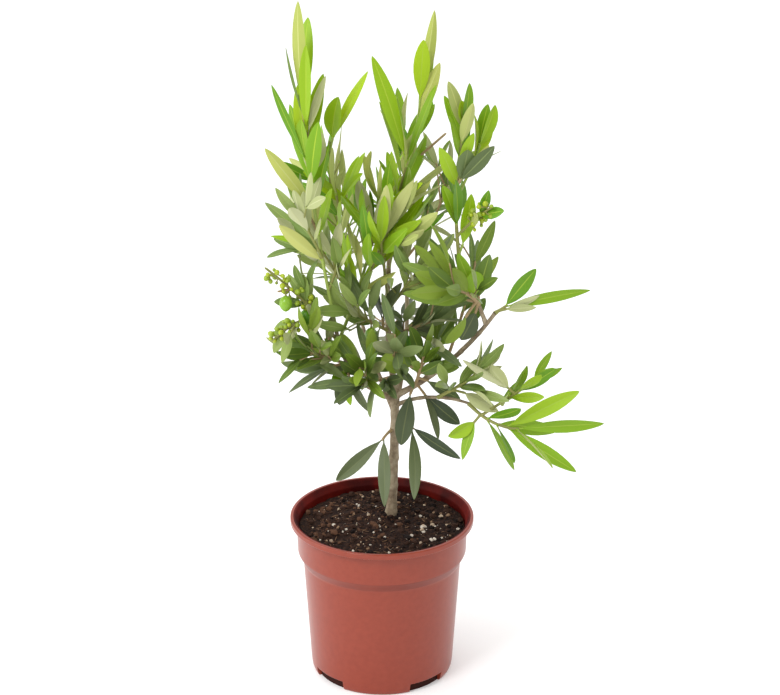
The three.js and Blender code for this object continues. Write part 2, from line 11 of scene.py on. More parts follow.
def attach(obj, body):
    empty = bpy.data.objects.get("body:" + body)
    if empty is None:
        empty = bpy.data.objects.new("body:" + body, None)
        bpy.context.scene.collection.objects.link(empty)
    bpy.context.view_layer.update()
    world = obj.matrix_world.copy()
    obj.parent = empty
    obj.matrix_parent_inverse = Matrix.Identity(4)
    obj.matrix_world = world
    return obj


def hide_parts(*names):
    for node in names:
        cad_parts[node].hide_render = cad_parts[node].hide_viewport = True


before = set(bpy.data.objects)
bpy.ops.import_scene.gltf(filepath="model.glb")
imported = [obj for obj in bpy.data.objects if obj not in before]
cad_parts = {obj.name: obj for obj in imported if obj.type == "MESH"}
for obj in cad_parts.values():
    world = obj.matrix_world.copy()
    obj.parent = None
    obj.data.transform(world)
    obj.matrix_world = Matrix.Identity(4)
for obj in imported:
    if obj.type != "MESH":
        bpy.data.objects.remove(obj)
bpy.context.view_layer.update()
MM = 0.001

# ---- the pot and the soil, as in the solids ----
POT_HEIGHT = 118
RIM_RADIUS = 65
RIM_HEIGHT = 4
RIM_WIDTH = 3.1
COLLAR_RADIUS = 60.6
COLLAR_FOOT_RADIUS = 59.8
COLLAR_FOOT_Z = 92
WALL_TOP_RADIUS = 55.9
WALL_TOP_Z = 85
BASE_RADIUS = 50.6
BASE_CORNER_Z = 6
BASE_CORNER_IN = 1.6
BASE_ROUND_Z = 2.4
BASE_ROUND_IN = 0.5
POT_WALL = 1.6
FOOT_WIDTH = 2.6
FOOT_RISE = 7.2
PAD_RADIUS = 30
PAD_SLOPE = 2.5
NOTCHES = 4
NOTCH_ARC = 33
NOTCH_TURN = 40
NOTCH_HEIGHT = 6.8
NOTCH_EDGE = 0.12  # degrees
NOTCH_BACK_RADIUS = 47.2  # where the back of a drain notch stands, dark with painted shade
DRAIN_HOLES = 8
DRAIN_RADIUS = 3.5
DRAIN_SIDES = 32
DRAIN_DEPTH = 12
SOIL_EDGE_Z = POT_HEIGHT - 8.5
SOIL_MOUND = 2.5
SOIL_PATCH = 24
TRUNK_X = 6.5
TRUNK_Y = 12

# ---- the plant's habit: the same limbs and shoots as the solids ----
FLARE_GAIN = 0.16
FLARE_REACH = 5
TWIG_FOOT = 1.3
TWIG_SIDE_FOOT = 1.0
TWIG_TIP = 0.8
TWIG_FINE_FOOT = 0.75
TWIG_FINE_TIP = 0.5
LEAF_SLIM = 6.8
LEAF_SPREAD = 0.06
FACE_OUT = 0.75
LIGHT = (-0.2, -0.9, 0.6)
AZIMUTH_STRAY = 20
TWIST_STRAY = 35
ANGLE_STRAY = 0.25
SIZE_STRAY = 0.15
WIDTH_STRAY = 0.15
DROOP_MOST = 2
BERRY_RADIUS = 2.2
BERRY_LEAST = 0.8
BERRY_STALK = 6
BERRY_STALK_LEAST = 0.5
BERRY_LEAN = (0.2, 0.8)
BERRY_TURN = 137.5
BERRY_FROM = 0.4
SIDE_BERRY_AT = 0.45  # share of a berry's stalk where smaller berries leave it
SIDE_BERRY_TURN = 2.4  # radians from one of those to the next
OLIVE_RADIUS = 4.5
OLIVE_STALK = 9
OLIVE_HANG = (270, -75)
STALK_RADIUS = 0.42
TIP = 0.99


def limb_row(name, on, at, length, heading, rise, **more):
    """A limb that leaves another at a share of that one's length."""
    return dict(name=name, on=on, at=at, length=length, heading=heading, rise=rise, **more)


LIMBS = [
    limb_row("trunk", None, 0, 96, 0, 87, turn=60, lift=2, foot=3.6, tip=3.0),
    limb_row("bough_left", "trunk", 0.93, 79, 193, 25, turn=24, lift=58, foot=2.2, tip=1.3),
    limb_row("bough_centre", "trunk", 1, 104, 150, 78, turn=-100, lift=8, foot=2.4, tip=1.4),
    limb_row("bough_right", "trunk", 0.96, 107, 335, 33, turn=0, lift=24, foot=2.2, tip=1.4),
    limb_row("bough_right_upper", "bough_right", 0.893, 52, 177, 70, turn=-18, lift=-4, foot=1.4, tip=1.1),
    limb_row("bough_low", "trunk", 0.88, 62, 326, 36, turn=8, lift=-44, foot=1.5, tip=1.0),
    limb_row("bough_back", "trunk", 0.9, 92, 70, 38, turn=25, lift=38, foot=1.9, tip=1.2),
    limb_row("bough_back_left", "trunk", 0.82, 84, 120, 40, turn=10, lift=30, foot=1.7, tip=1.1),
]

# What a shoot has unless its row says otherwise. tone is the age and colour of its leaves, partly painted
# light as its shades are brightened for the light through the leaves, fine the chance that a leaf also
# bears a finer side twig, and flip the share of leaves that show their pale underside.
HABIT = dict(
    turn=0, lift=0, pairs=4, bare=0.2, till=1, leaf=40, low=0.7, roll=0, open=50, close=16,
    pull=0, droop=0.1, face=0, width=1, uneven=1, berries=0, olives=0, tone="mid", fine=0.5, flip=0.15,
)


def stem(on, at, length, heading, rise, tone, leaf, **more):
    """A shoot on a limb, or on the shoot of its own mass that has this number."""
    return dict(on=on, at=at, length=length, heading=heading, rise=rise, tone=tone, leaf=leaf, **more)


def sprig(on, at, length, heading, rise, tone, leaf, close, width=1, uneven=1, **more):
    """A short shoot that bears a single pair of leaves and no finer twigs."""
    more = {"flip": 0, "pairs": 1, "fine": 0, "close": close, "width": width, "uneven": uneven, **more}
    return stem(on, at, length, heading, rise, tone, leaf, **more)


def bunch(name, reach, shoots, finer=()):
    """A mass of leaves: the shoots that its solid has, then finer ones that it carries here only."""
    return dict(name=name, reach=reach, shoots=shoots, finer=list(finer))


MASSES = [
    bunch("leaves_top_left", 160, [
        stem("bough_left", 1, 164, 213, 78, "young", 73, turn=-51, lift=9, pairs=7, low=0.5, close=9,
             pull=0.15, roll=270, face=2, width=1.1, uneven=0.88, fine=0, flip=0.4),
        stem(0, 0.18, 104, 20, 62, "fresh", 50, turn=190, lift=25, till=0.78, pairs=4, pull=0.2, roll=40,
             fine=0, flip=0.4),
        stem(0, 0.33, 36, 237, 59, "silver", 34, turn=-19, pairs=3, pull=0.2, flip=0.5),
        sprig(1, 0.95, 8, 350, 77, "young", 54, 12, 1.45, 0.6, roll=60, face=2),
    ], [
        sprig(1, 0.55, 6, 20, 66, "young", 36, 12, 1.2, 0.8),
        sprig(1, 0.28, 7, 190, 22, "young", 48, 9, 1.1, 0.55, roll=90, droop=0.2),
        sprig(0, 0.45, 8, 160, 60, "mid", 34, 14),
        sprig(0, 0.84, 6, 10, 83, "silver", 46, 8, 1.8, 0.5, roll=90, face=1, flip=1),
        sprig(0, 0.66, 6, 180, 89, "silver", 50, 6, 1.7, 0.7, roll=90, face=1, flip=1),
        sprig(0, 0.72, 5, 190, 74, "fresh", 64, 8, 1.1, 0.5, roll=90, face=1),
        sprig(0, 0.93, 4, 185, 77, "mid", 54, 6, 0.8, 0.4, roll=90, droop=0.3),
    ]),
    bunch("leaves_left_crown", 95, [
        stem("bough_left", 0.86, 100, 40, 60, "young", 46, lift=14, pairs=6, pull=0.1, flip=0.4),
        stem(0, 0.35, 50, 330, 55, "fresh", 50, lift=20, pairs=3, flip=0.3),
        stem(0, 0.3, 45, 200, 60, "silver", 34, pairs=3, flip=0.4),
    ], [
        sprig(0, 0.85, 14, 190, 30, "young", 54, 9, 1.5, 0.6, lift=20, roll=90, face=1),
        sprig(1, 0.3, 6, 5, 64, "young", 74, 8, 1.4, 0.6, roll=90),
        sprig(0, 0.72, 8, 255, 72, "silver", 44, 13, 1.2, flip=1),
        sprig(2, 0.6, 12, 255, 70, "silver", 36, 14, 1.1, flip=1),
    ]),
    bunch("leaves_left", 65, [
        stem("bough_left", 0.84, 78, 192, 58, "silver", 27, turn=4, lift=-16, till=0.5, pairs=2, berries=12,
             olives=1),
        stem(0, 0.36, 34, 200, -10, "silver", 24, lift=-30, till=0.7, pairs=2, berries=8),
    ], [
        stem(0, 0.1, 8, 250, 4, "mid", 40, pairs=0, olives=1),
        stem(0, 0.7, 9, 215, 4, "mid", 40, pairs=0, olives=1),
    ]),
    bunch("leaves_left_low", 55, [
        stem("bough_left", 0.6, 34, 215, 28, "mid", 31, fine=0.8),
        stem(0, 0.1, 12, 200, -5, "blue", 36, pairs=2),
        stem(0, 0.06, 10, 280, -25, "old", 32, pairs=1, close=30, pull=-0.5, width=1.3, uneven=0.7, fine=0),
    ], [
        sprig(0, 0.1, 5, 262, -60, "young", 27, 12, 1.5, 0.6),
    ]),
    bunch("leaves_inner_left", 55, [
        stem("bough_centre", 0.42, 38, 224, 34, "silver", 33, turn=-11, olives=1, fine=0.8),
    ], [
        sprig(0, 0.15, 8, 260, 74, "old", 34, 14),
        sprig(0, 0.5, 8, 250, 66, "blue", 34, 16),
    ]),
    bunch("leaves_inner_right", 55, [
        stem("bough_centre", 0.38, 42, 310, 29, "blue", 35, turn=19, olives=1, fine=0.8),
    ], [
        sprig(0, 0.5, 5, 0, 4, "old", 38, 6, 1.5, 0.6, roll=90, face=1),
    ]),
    bunch("leaves_front", 60, [
        stem("bough_centre", 0.22, 45, 275, 29, "blue", 38, pull=-0.1, fine=0.6),
    ]),
    bunch("leaves_right_inner", 45, [
        stem("bough_right", 0.27, 28, 350, 75, "mid", 30, pairs=2, fine=0.3),
    ]),
    bunch("leaves_skirt_left", 60, [
        sprig("trunk", 0.7, 12, 225, 0, "old", 52, 30, lift=-40, pull=-0.4),
    ]),
    bunch("leaves_skirt_right", 60, [
        sprig("trunk", 0.8, 18, 312, 10, "old", 58, 28, 1.15, 0.8, lift=-38, pull=-0.3, roll=180),
    ]),
    bunch("leaves_centre", 120, [
        stem("bough_centre", 1, 66, 289, 76, "fresh", 62, turn=64, pairs=4, low=0.6, close=24, pull=0.1,
             roll=70, fine=0),
        sprig(0, 0.97, 6, 194, 83, "young", 88, 7, 1.55, 0.65, roll=90, face=2),
    ], [
        sprig(0, 0.42, 9, 338, 60, "fresh", 54, 9, 1.5, 0.55, roll=90),
    ]),
    bunch("leaves_centre_top", 120, [
        stem("bough_centre", 0.86, 120, 41, 72, "young", 70, turn=-20, lift=11, pairs=6, low=0.55, close=10,
             pull=0.2, face=2, width=1.15, uneven=0.75, fine=0, flip=0.4),
    ], [
        stem(0, 0.62, 32, 350, 44, "mid", 40, pairs=0),
    ]),
    bunch("leaves_right_top", 85, [
        stem("bough_right_upper", 1, 88, 139, 81, "fresh", 36, turn=-121, pairs=7, pull=0.2, fine=0.15),
        stem(0, 0.45, 40, 48, 47, "young", 34, lift=14, pairs=3, pull=0.2, fine=0),
        stem(0, 0.16, 36, 330, 52, "fresh", 24, lift=-15, till=0.7, pairs=2, berries=8, fine=0),
    ], [
        sprig(0, 0.02, 6, 0, 68, "young", 42, 12, 1.6, 0.7, roll=270, face=1),
        sprig(0, 0.2, 4, 262, 80, "fresh", 36, 12, 1.2),
        sprig(0, 0.97, 4, 0, 84, "young", 34, 6, 1.6, 0.6, roll=90),
        sprig(0, 0.55, 5, 350, 62, "blue", 34, 12, 1.5, 0.7, roll=90),
    ]),
    bunch("leaves_right_mid", 60, [
        stem("bough_right_upper", 0.3, 36, 248, 44, "mid", 38, turn=-26, lift=-19, width=1.15, fine=0.7),
        stem(0, 0.15, 12, 225, -40, "mid", 36, pairs=1, width=1.5, pull=-0.5, uneven=0.7, fine=0),
    ], [
        sprig(0, 0.1, 5, 190, 74, "fresh", 36, 6, 1.7, 0.6, roll=90),
        sprig(0, 0.12, 6, 196, 18, "mid", 46, 8, 1.8, 0.6, roll=90, face=1),
        sprig(0, 0.03, 5, 230, -66, "old", 34, 8, 1.6, 0.7, pull=-0.6, roll=90, face=1),
        sprig(0, 0.02, 4, 10, 86, "mid", 36, 6, 2, 0.6, roll=90, face=1),
    ]),
    bunch("leaves_right_far", 75, [
        sprig("bough_right", 1, 8, 17, 29, "fresh", 64, 21, 1.3, 0.58, roll=90),
    ], [
        sprig(0, 0.4, 4, 0, 12, "silver", 28, 8, 0.7, 0.8, flip=1),
    ]),
    bunch("leaves_right_low", 92, [
        stem("bough_low", 1, 42, 325, -38, "fresh", 70, lift=50, low=0.4, close=34, roll=90, fine=0,
             flip=0),
        stem(0, 0.3, 36, 334, 40, "fresh", 32, pairs=3, width=1.1, fine=0.3),
    ], [
        sprig(0, 0.28, 6, 190, -50, "fresh", 30, 16, 1.3, 0.75, roll=90),
        sprig(1, 0.9, 5, 184, 44, "silver", 42, 8, 1.6, 0.6, roll=90, flip=1),
    ]),
    bunch("leaves_low_mid", 55, [
        stem("bough_low", 0.62, 34, 313, 36, "silver", 34, pairs=3, fine=0.6),
    ], [
        sprig(0, 0.5, 8, 340, -6, "silver", 32, 12, 1.8, 0.7, roll=90, flip=1),
    ]),
    bunch("leaves_mid_left", 55, [
        stem("bough_centre", 0.1, 40, 238, 12, "blue", 36, fine=0.5),
    ]),
    bunch("leaves_heart", 70, [
        stem("bough_centre", 0.66, 60, 262, 58, "fresh", 38, roll=30, fine=0.7, flip=0.3),
    ]),
    bunch("leaves_upper_right", 60, [
        stem("bough_centre", 0.56, 50, 308, 50, "silver", 36, fine=0.8),
    ], [
        sprig(0, 0.12, 9, 215, 24, "blue", 36, 16, 1.1),
    ]),
    bunch("leaves_fork", 55, [
        stem("bough_right", 0.18, 40, 282, 52, "mid", 34, roll=45, fine=0.3),
    ], [
        sprig(0, 0.06, 9, 322, -40, "old", 36, 18, 1.1, pull=-0.3),
        sprig(0, 0.16, 10, 235, -42, "old", 54, 8, 1.7, 0.7, pull=-0.8, face=1),
        sprig(0, 0.58, 6, 180, 14, "mid", 42, 6, 1.8, 0.6, roll=90, face=1),
        sprig(0, 0.26, 6, 350, -14, "blue", 30, 14, 1.4, 0.8, roll=90, face=1),
    ]),
    bunch("leaves_low_left", 50, [
        stem("bough_left", 0.33, 36, 272, 40, "mid", 34, roll=20, fine=0.8),
    ]),
    bunch("leaves_back", 90, [
        stem("bough_back", 1, 95, 95, 72, "fresh", 42, pairs=6, pull=0.2),
        stem(0, 0.15, 58, 30, 40, "mid", 38, lift=30),
        stem(0, 0.08, 44, 90, 20, "mid", 36, pairs=3),
    ]),
    bunch("leaves_back_left", 90, [
        stem("bough_back_left", 1, 90, 130, 66, "fresh", 42, lift=10, pairs=6, pull=0.2),
        stem(0, 0.15, 50, 155, 30, "silver", 38, lift=20),
        stem(0, 0.08, 40, 110, 10, "mid", 34, pairs=3),
    ]),
    bunch("leaves_back_low", 60, [
        stem("bough_back", 0.45, 45, 105, 5, "old", 38, pull=-0.2),
    ]),
    bunch("leaves_back_right", 75, [
        stem("bough_right", 0.45, 75, 60, 45, "mid", 40, lift=20, pairs=5),
    ]),
]

# Openings right through the crown along lines from the eye: the x and z of each where y is 0, and its
# radius. No leaf that grows here reaches into one.
OPENINGS = (
    (-29, 436, 6), (-34, 455, 5), (-7, 416, 6), (-13, 397, 5), (-20, 406, 6), (11, 452, 5), (38, 404, 8),
    (20, 417, 4), (-76, 404, 6), (-89, 380, 12), (-93, 350, 12), (60, 245, 6), (-29, 191, 7), (-85, 226, 14),
    (-88, 262, 8),
)
EYE_X = 5.7
EYE_DISTANCE = 1926
EYE_HEIGHT = 1042
EYE_DOWN = 22.45  # degrees that the eye looks down
EYE_LENS = 138.83
SEED_STEP = 100
LOOKS_SEED = 50000  # seeds from here on are for what only the looks have
SOIL_SEED = 424242
SEED_SPREAD = 7919
CHANCE_FACTOR = 16807
CHANCE_MODULUS = 2147483647


def chance(seed):
    """A source of random numbers that gives the same ones for the same seed."""
    state = (seed * SEED_SPREAD) % CHANCE_MODULUS

    def draw(low, high):
        nonlocal state
        state = (state * CHANCE_FACTOR) % CHANCE_MODULUS
        return low + (high - low) * state / CHANCE_MODULUS

    return draw


def lerp(a, b, t):
    return a + (b - a) * t


def unit(v):
    return v / np.linalg.norm(v)


UP = np.array([0.0, 0.0, 1.0])


# ---- arcs ----
def direction(heading, rise):
    h, r = math.radians(heading), math.radians(rise)
    return np.array([math.cos(h) * math.cos(r), math.sin(h) * math.cos(r), math.sin(r)])


def arc(start, row, steps):
    """The stations of an arc, each a place, a direction and two directions across it."""
    turn, lift = row.get("turn", 0), row.get("lift", 0)
    place = np.array(start, float)
    across = np.cross(UP, direction(row["heading"], 0))
    stations = []
    for i in range(steps + 1):
        t = i / steps
        along = direction(row["heading"] + turn * t, row["rise"] + lift * t)
        across = unit(across - along * (across @ along))
        stations.append((place.copy(), along, across, np.cross(across, along)))
        half = t + 0.5 / steps
        step = direction(row["heading"] + turn * half, row["rise"] + lift * half)
        place = place + step * row["length"] / steps
    return [np.array(column) for column in zip(*stations)]


def station_at(stations, t):
    places, alongs, acrosses, _ = stations
    last = len(places) - 1
    k = min(int(t * last), last - 1)
    mixed = [lerp(column[k], column[k + 1], t * last - k) for column in (places, alongs, acrosses)]
    along, across = unit(mixed[1]), unit(mixed[2])
    return mixed[0], along, across, np.cross(across, along)


def round_about(across, over, angle):
    """A direction between two that are square to each other, at an angle from the first."""
    return across * math.cos(angle) + over * math.sin(angle)


def polar(radius, angle):
    return radius * math.cos(angle), radius * math.sin(angle)


# ---- joined pieces ----
class Sheaf:
    """Many small closed meshes that are joined into one piece."""

    def __init__(self):
        self.points, self.faces, self.slots, self.count = [], [], [], 0

    def add(self, points, faces, slots):
        self.points.append(np.asarray(points, float))
        self.faces.extend(tuple(int(i) + self.count for i in face) for face in faces)
        self.slots.extend(slots)
        self.count += len(points)

    def piece(self, name, materials, slot, replaced=(), sharp=50):
        mesh = bpy.data.meshes.new(name)
        mesh.from_pydata((np.concatenate(self.points) * MM).tolist(), [], self.faces)
        for material in materials:
            mesh.materials.append(material)
        mesh.polygons.foreach_set("material_index", np.array(self.slots, np.int32))
        mesh.polygons.foreach_set("use_smooth", np.ones(len(self.faces), bool))
        mesh.set_sharp_from_angle(angle=math.radians(sharp))
        mesh.update()
        obj = bpy.data.objects.new(name, mesh)
        bpy.context.scene.collection.objects.link(obj)
        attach(obj, "root")
        if replaced:
            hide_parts(*replaced)
        return obj


def tube_faces(rings, sides):
    """The faces of a closed tube: rings of points from foot to tip, then a point at each end."""
    faces = []
    for i in range(rings - 1):
        for j in range(sides):
            a, b = i * sides + j, i * sides + (j + 1) % sides
            faces.append((a, b, b + sides, a + sides))
    foot, tip = rings * sides, rings * sides + 1
    top = (rings - 1) * sides
    for j in range(sides):
        faces.append(((j + 1) % sides, j, foot))
        faces.append((top + j, top + (j + 1) % sides, tip))
    return faces


def tube(stations, radii, sides, relief=None):
    """Points and faces of a tube; relief adds to the radius at a place, by ring and angle."""
    places, _, acrosses, overs = stations
    angles = np.arange(sides) * 2 * math.pi / sides
    points = []
    for i, place in enumerate(places):
        for angle in angles:
            out = round_about(acrosses[i], overs[i], angle)
            radius = radii[i] + (relief(i, angle, place + out * radii[i]) if relief else 0)
            points.append(place + out * radius)
    points.extend([places[0], places[-1]])
    faces = tube_faces(len(places), sides)
    return points, [face[::-1] for face in faces]


# ---- growing ----
LIMB_RING_STEP = 1.1
TWIG_RING_STEP = 3.0


def rings_for(length, step):
    return max(3, round(length / step))


def grow_limbs():
    limbs = {}
    for row in LIMBS:
        start = (TRUNK_X, TRUNK_Y, SOIL_EDGE_Z + SOIL_MOUND)
        if row["on"]:
            start = station_at(limbs[row["on"]]["stations"], row["at"])[0]
        stations = arc(start, row, rings_for(row["length"], LIMB_RING_STEP))
        limbs[row["name"]] = dict(row=row, stations=stations)
    return limbs


def grow_shoots(mass, limbs, number):
    grown = []
    for index, row in enumerate(mass["shoots"] + mass["finer"]):
        shoot = {**HABIT, **row}
        is_side = isinstance(shoot["on"], int)
        parent = grown[shoot["on"]] if is_side else limbs[shoot["on"]]
        start = station_at(parent["stations"], shoot["at"])[0]
        stations = arc(start, shoot, rings_for(shoot["length"], TWIG_RING_STEP))
        grown.append(dict(
            shoot=shoot, stations=stations, foot=TWIG_SIDE_FOOT if is_side else TWIG_FOOT, end=TWIG_TIP,
            draw=chance(SEED_STEP * number + index),
            looks=chance(LOOKS_SEED + SEED_STEP * number + index),
            finer=index >= len(mass["shoots"]),
        ))
    return grown


def outward(place):
    out = np.array([place[0] - TRUNK_X, place[1] - TRUNK_Y, 0.0])
    return unit(out) + np.array(LIGHT)


def turned_about(vector, axis, angle):
    """A vector turned about an axis by an angle in radians."""
    c, s = math.cos(angle), math.sin(angle)
    return vector * c + np.cross(axis, vector) * s + axis * (axis @ vector) * (1 - c)


def in_opening(place):
    """Whether a place is in one of the openings through the crown."""
    back = place[1] / (EYE_DISTANCE + place[1])
    x = place[0] * (1 - back)
    z = place[2] + (EYE_HEIGHT - place[2]) * back
    return any(math.hypot(x - ox, z - oz) < radius for ox, oz, radius in OPENINGS)


def leaf_plan(grown):
    """The leaves of one shoot, by the same draws as in the solids."""
    shoot, draw = grown["shoot"], grown["draw"]
    plan = []
    for k in range(shoot["pairs"]):
        t = lerp(shoot["bare"], shoot["till"], (k + TIP) / shoot["pairs"])
        node = station_at(grown["stations"], min(t, TIP))
        for side in range(2):
            stray = draw(-AZIMUTH_STRAY, AZIMUTH_STRAY)
            out = round_about(node[2], node[3], math.radians(shoot["roll"] + 90 * k + 180 * side + stray))
            open_angle = lerp(shoot["open"], shoot["close"], t)
            angle = math.radians(open_angle * draw(1 - ANGLE_STRAY, 1 + ANGLE_STRAY))
            share = shoot["uneven"] if side else 1
            size = share * shoot["leaf"] * lerp(shoot["low"], 1, t) * draw(1 - SIZE_STRAY, 1)
            slim = (LEAF_SLIM + LEAF_SPREAD * size) * shoot["width"] * shoot["uneven"] / share
            width = slim * draw(1 - WIDTH_STRAY, 1 + WIDTH_STRAY)
            twist = math.radians(draw(-TWIST_STRAY, TWIST_STRAY)) / (1 + shoot["face"])
            droop = shoot["droop"] * draw(0, DROOP_MOST)
            along = unit(node[1] * math.cos(angle) + out * math.sin(angle) + UP * shoot["pull"])
            above = out * (FACE_OUT - 1) + outward(node[0]) * FACE_OUT + np.array(LIGHT) * shoot["face"]
            above = unit(above - along * (above @ along))
            above = turned_about(above, along, twist)
            plan.append(dict(place=node[0], along=along, above=above, size=size, width=width, droop=droop,
                             t=t, out=out))
    return plan


def fruit_plan(grown):
    shoot, draw = grown["shoot"], grown["draw"]
    plan = []
    for k in range(shoot["berries"]):
        node = station_at(grown["stations"], lerp(BERRY_FROM, TIP, k / shoot["berries"]))
        out = round_about(node[2], node[3], math.radians(BERRY_TURN * k))
        along = unit(out + node[1] * draw(*BERRY_LEAN))
        size = BERRY_STALK * draw(BERRY_STALK_LEAST, 1)
        berry = dict(place=node[0], along=along, size=size, radius=BERRY_RADIUS * draw(BERRY_LEAST, 1))
        plan.append(berry)
        plan.extend(side_berries(berry, grown["looks"]))
    for _ in range(shoot["olives"]):
        place = station_at(grown["stations"], 0.5)[0]
        plan.append(dict(place=place, along=direction(*OLIVE_HANG), size=OLIVE_STALK, radius=OLIVE_RADIUS))
    return plan


def side_berries(berry, looks):
    """Smaller berries that branch off the stalk of a berry, so that they make a loose panicle."""
    made = []
    place = berry["place"] + berry["along"] * berry["size"] * SIDE_BERRY_AT
    start = looks(0, 2 * math.pi)
    across = unit(np.cross(berry["along"], direction(31, 12)))
    over = np.cross(across, berry["along"])
    for k in range(2):
        out = round_about(across, over, start + SIDE_BERRY_TURN * k)
        along = unit(berry["along"] * looks(0.1, 0.5) + out)
        size = looks(4.2, 5.6)
        made.append(dict(place=place, along=along, size=size, radius=berry["radius"] * looks(0.6, 0.85)))
    return made


# ---- leaf blades ----
STALK_SHARE = 0.075  # petiole's share of the leaf's length
STALK_HALF = 0.55
BLADE_STEPS = (0.0, 0.04, 0.10, 0.19, 0.30, 0.42, 0.54, 0.66, 0.77, 0.86, 0.93, 0.975, 1.0)
COARSE_SHARES = (0.16, 0.32, 0.48, 0.64, 0.8, 0.97)
RIB_HALF = 0.07  # share of the half width that the midrib takes
BLADE_THICK = 0.34
BLADE_FULL = 0.66  # how blunt a blade is at both ends: nearer 0 is blunter
RIB_DEPTH = 0.3
# the section of a blade: the share of the half width, and 1 above or -1 below, from edge to edge
SECTION = ((-1, 0), (-0.58, 1), (-RIB_HALF, 1), (RIB_HALF, 1), (0.58, 1), (1, 0),
           (0.58, -1), (RIB_HALF, -1), (-RIB_HALF, -1), (-0.58, -1))


def blade_profile(t, belly):
    """The half width of an olive leaf's blade, as a share of its widest; belly shifts the widest place."""
    return math.sin(math.pi * min(max(t, 0), 1) ** belly) ** BLADE_FULL


def blade_shares():
    shares = [0.0, STALK_SHARE * 0.5]
    shares.extend(STALK_SHARE + (1 - STALK_SHARE) * t for t in BLADE_STEPS)
    return shares


SHARES = blade_shares()


def centre_line(leaf, s):
    """The middle of the blade and its directions at a share of its length."""
    side = np.cross(leaf["along"], leaf["above"])
    droop, bend = leaf["droop"], leaf["bend"]
    middle = leaf["place"] + leaf["size"] * (
        leaf["along"] * s - leaf["above"] * droop * s * s + side * bend * s * s
    )
    along = unit(leaf["along"] - leaf["above"] * 2 * droop * s + side * 2 * bend * s)
    above = turned_about(unit(leaf["above"] - along * (leaf["above"] @ along)), along, leaf["spin"] * s)
    return middle, np.cross(along, above), above


def half_width(leaf, s):
    t = (s - STALK_SHARE) / (1 - STALK_SHARE)
    blade = leaf["width"] / 2 * blade_profile(t, leaf["belly"]) if t > 0 else 0
    return max(blade, lerp(STALK_HALF, 0.1, max(t, 0)))


def blade_points(leaf):
    points = []
    for s in SHARES:
        middle, across, above = centre_line(leaf, s)
        half = half_width(leaf, s)
        is_stalk = s <= STALK_SHARE
        thick = STALK_HALF if is_stalk else BLADE_THICK / 2
        for share, face in SECTION:
            height = half * (leaf["fold"] * abs(share) - leaf["curl"] * share * share)
            wave = leaf["wave"] * half * share * math.sin(9 * s + leaf["phase"])
            if is_stalk:
                height, wave = 0, 0
            if abs(share) <= RIB_HALF and not is_stalk:
                height += -RIB_DEPTH * 0.4 if face > 0 else -RIB_DEPTH * (1.1 - s)
            points.append(middle + across * half * share + above * (height + wave + face * thick))
    return points


def blade_faces():
    ring = len(SECTION)
    faces, kinds = [], []
    for i in range(len(SHARES) - 1):
        for j in range(ring):
            a, b = i * ring + j, i * ring + (j + 1) % ring
            faces.append((a, b, b + ring, a + ring))
            kind = "upper" if j < 5 else "under"
            kinds.append("rib" if i < 2 or j == 2 else "ribbelow" if j == 7 else kind)
    top = (len(SHARES) - 1) * ring
    faces.append(tuple(range(ring))[::-1])
    kinds.append("rib")
    faces.append(tuple(top + j for j in range(ring)))
    kinds.append("upper")
    return faces, kinds


BLADE_FACES, BLADE_KINDS = blade_faces()


def coarse_blade(leaf):
    """A blade of a few faces, to tell whether leaves cross."""
    points, faces = [], []
    for i, s in enumerate(COARSE_SHARES):
        middle, across, above = centre_line(leaf, s)
        half = half_width(leaf, s)
        rise = half * (leaf["fold"] - leaf["curl"])
        points.extend([middle - across * half + above * rise, middle, middle + across * half + above * rise])
        if i:
            a = 3 * i
            faces.extend([(a - 3, a - 2, a + 1, a), (a - 2, a - 1, a + 2, a + 1)])
    return points, faces


# ---- room for leaves ----
LIMB_CLEAR = 0.5
GROUND_CLEAR = 1.0
RIM_CLEAR = 7
SOIL_CLEAR = 3
TWIG_CLEAR = 2
TRIES = 7
TRY_TURN = 2.5  # degrees more that a leaf is turned each time it is tried again
TRY_ROLL = 16


class Room:
    """What already stands in the crown, so that no leaf crosses it."""

    def __init__(self):
        self.rods = np.zeros((0, 5))
        self.leaves = []

    def add_rod(self, stations, radii, number):
        rows = np.column_stack([stations[0], radii, np.full(len(radii), number)])
        self.rods = np.vstack([self.rods, rows])

    def fits(self, leaf, number, middle, reach):
        points, faces = coarse_blade(leaf)
        samples = np.array(points)
        if np.linalg.norm(samples[-2] - middle) > reach or any(in_opening(place) for place in samples):
            return None
        plan = np.hypot(samples[:, 0], samples[:, 1])
        low = samples[:, 2] < POT_HEIGHT + GROUND_CLEAR
        if np.any(low & (plan > RIM_RADIUS - RIM_CLEAR)) or samples[:, 2].min() < SOIL_EDGE_Z + SOIL_CLEAR:
            return None
        others = self.rods[self.rods[:, 4] != number]
        gaps = np.linalg.norm(samples[None, :, :] - others[:, None, :3], axis=2) - others[:, 3:4]
        if gaps.min() < LIMB_CLEAR:
            return None
        centre, radius = samples.mean(0), leaf["size"] / 2
        tree = None
        for other_centre, other_radius, other_tree in self.leaves:
            if np.linalg.norm(centre - other_centre) > radius + other_radius:
                continue
            if tree is None:
                tree = BVHTree.FromPolygons([Vector(p) for p in points], faces)
            if tree.overlap(other_tree):
                return None
        return centre, radius, tree or BVHTree.FromPolygons([Vector(p) for p in points], faces)

    def settle(self, leaf, number, middle, reach, looks):
        """Turns a leaf a little until it crosses nothing, or says that there is no room."""
        for attempt in range(TRIES):
            if attempt:
                axis = unit(np.array([looks(-1, 1), looks(-1, 1), looks(-1, 1)]))
                angle = math.radians(TRY_TURN * attempt)
                leaf["along"] = turned_about(leaf["along"], axis, angle)
                above = turned_about(leaf["above"], axis, angle)
                roll = math.radians(looks(-TRY_ROLL, TRY_ROLL))
                leaf["above"] = turned_about(above, leaf["along"], roll)
            found = self.fits(leaf, number, middle, reach)
            if found:
                self.leaves.append(found)
                return True
        return False


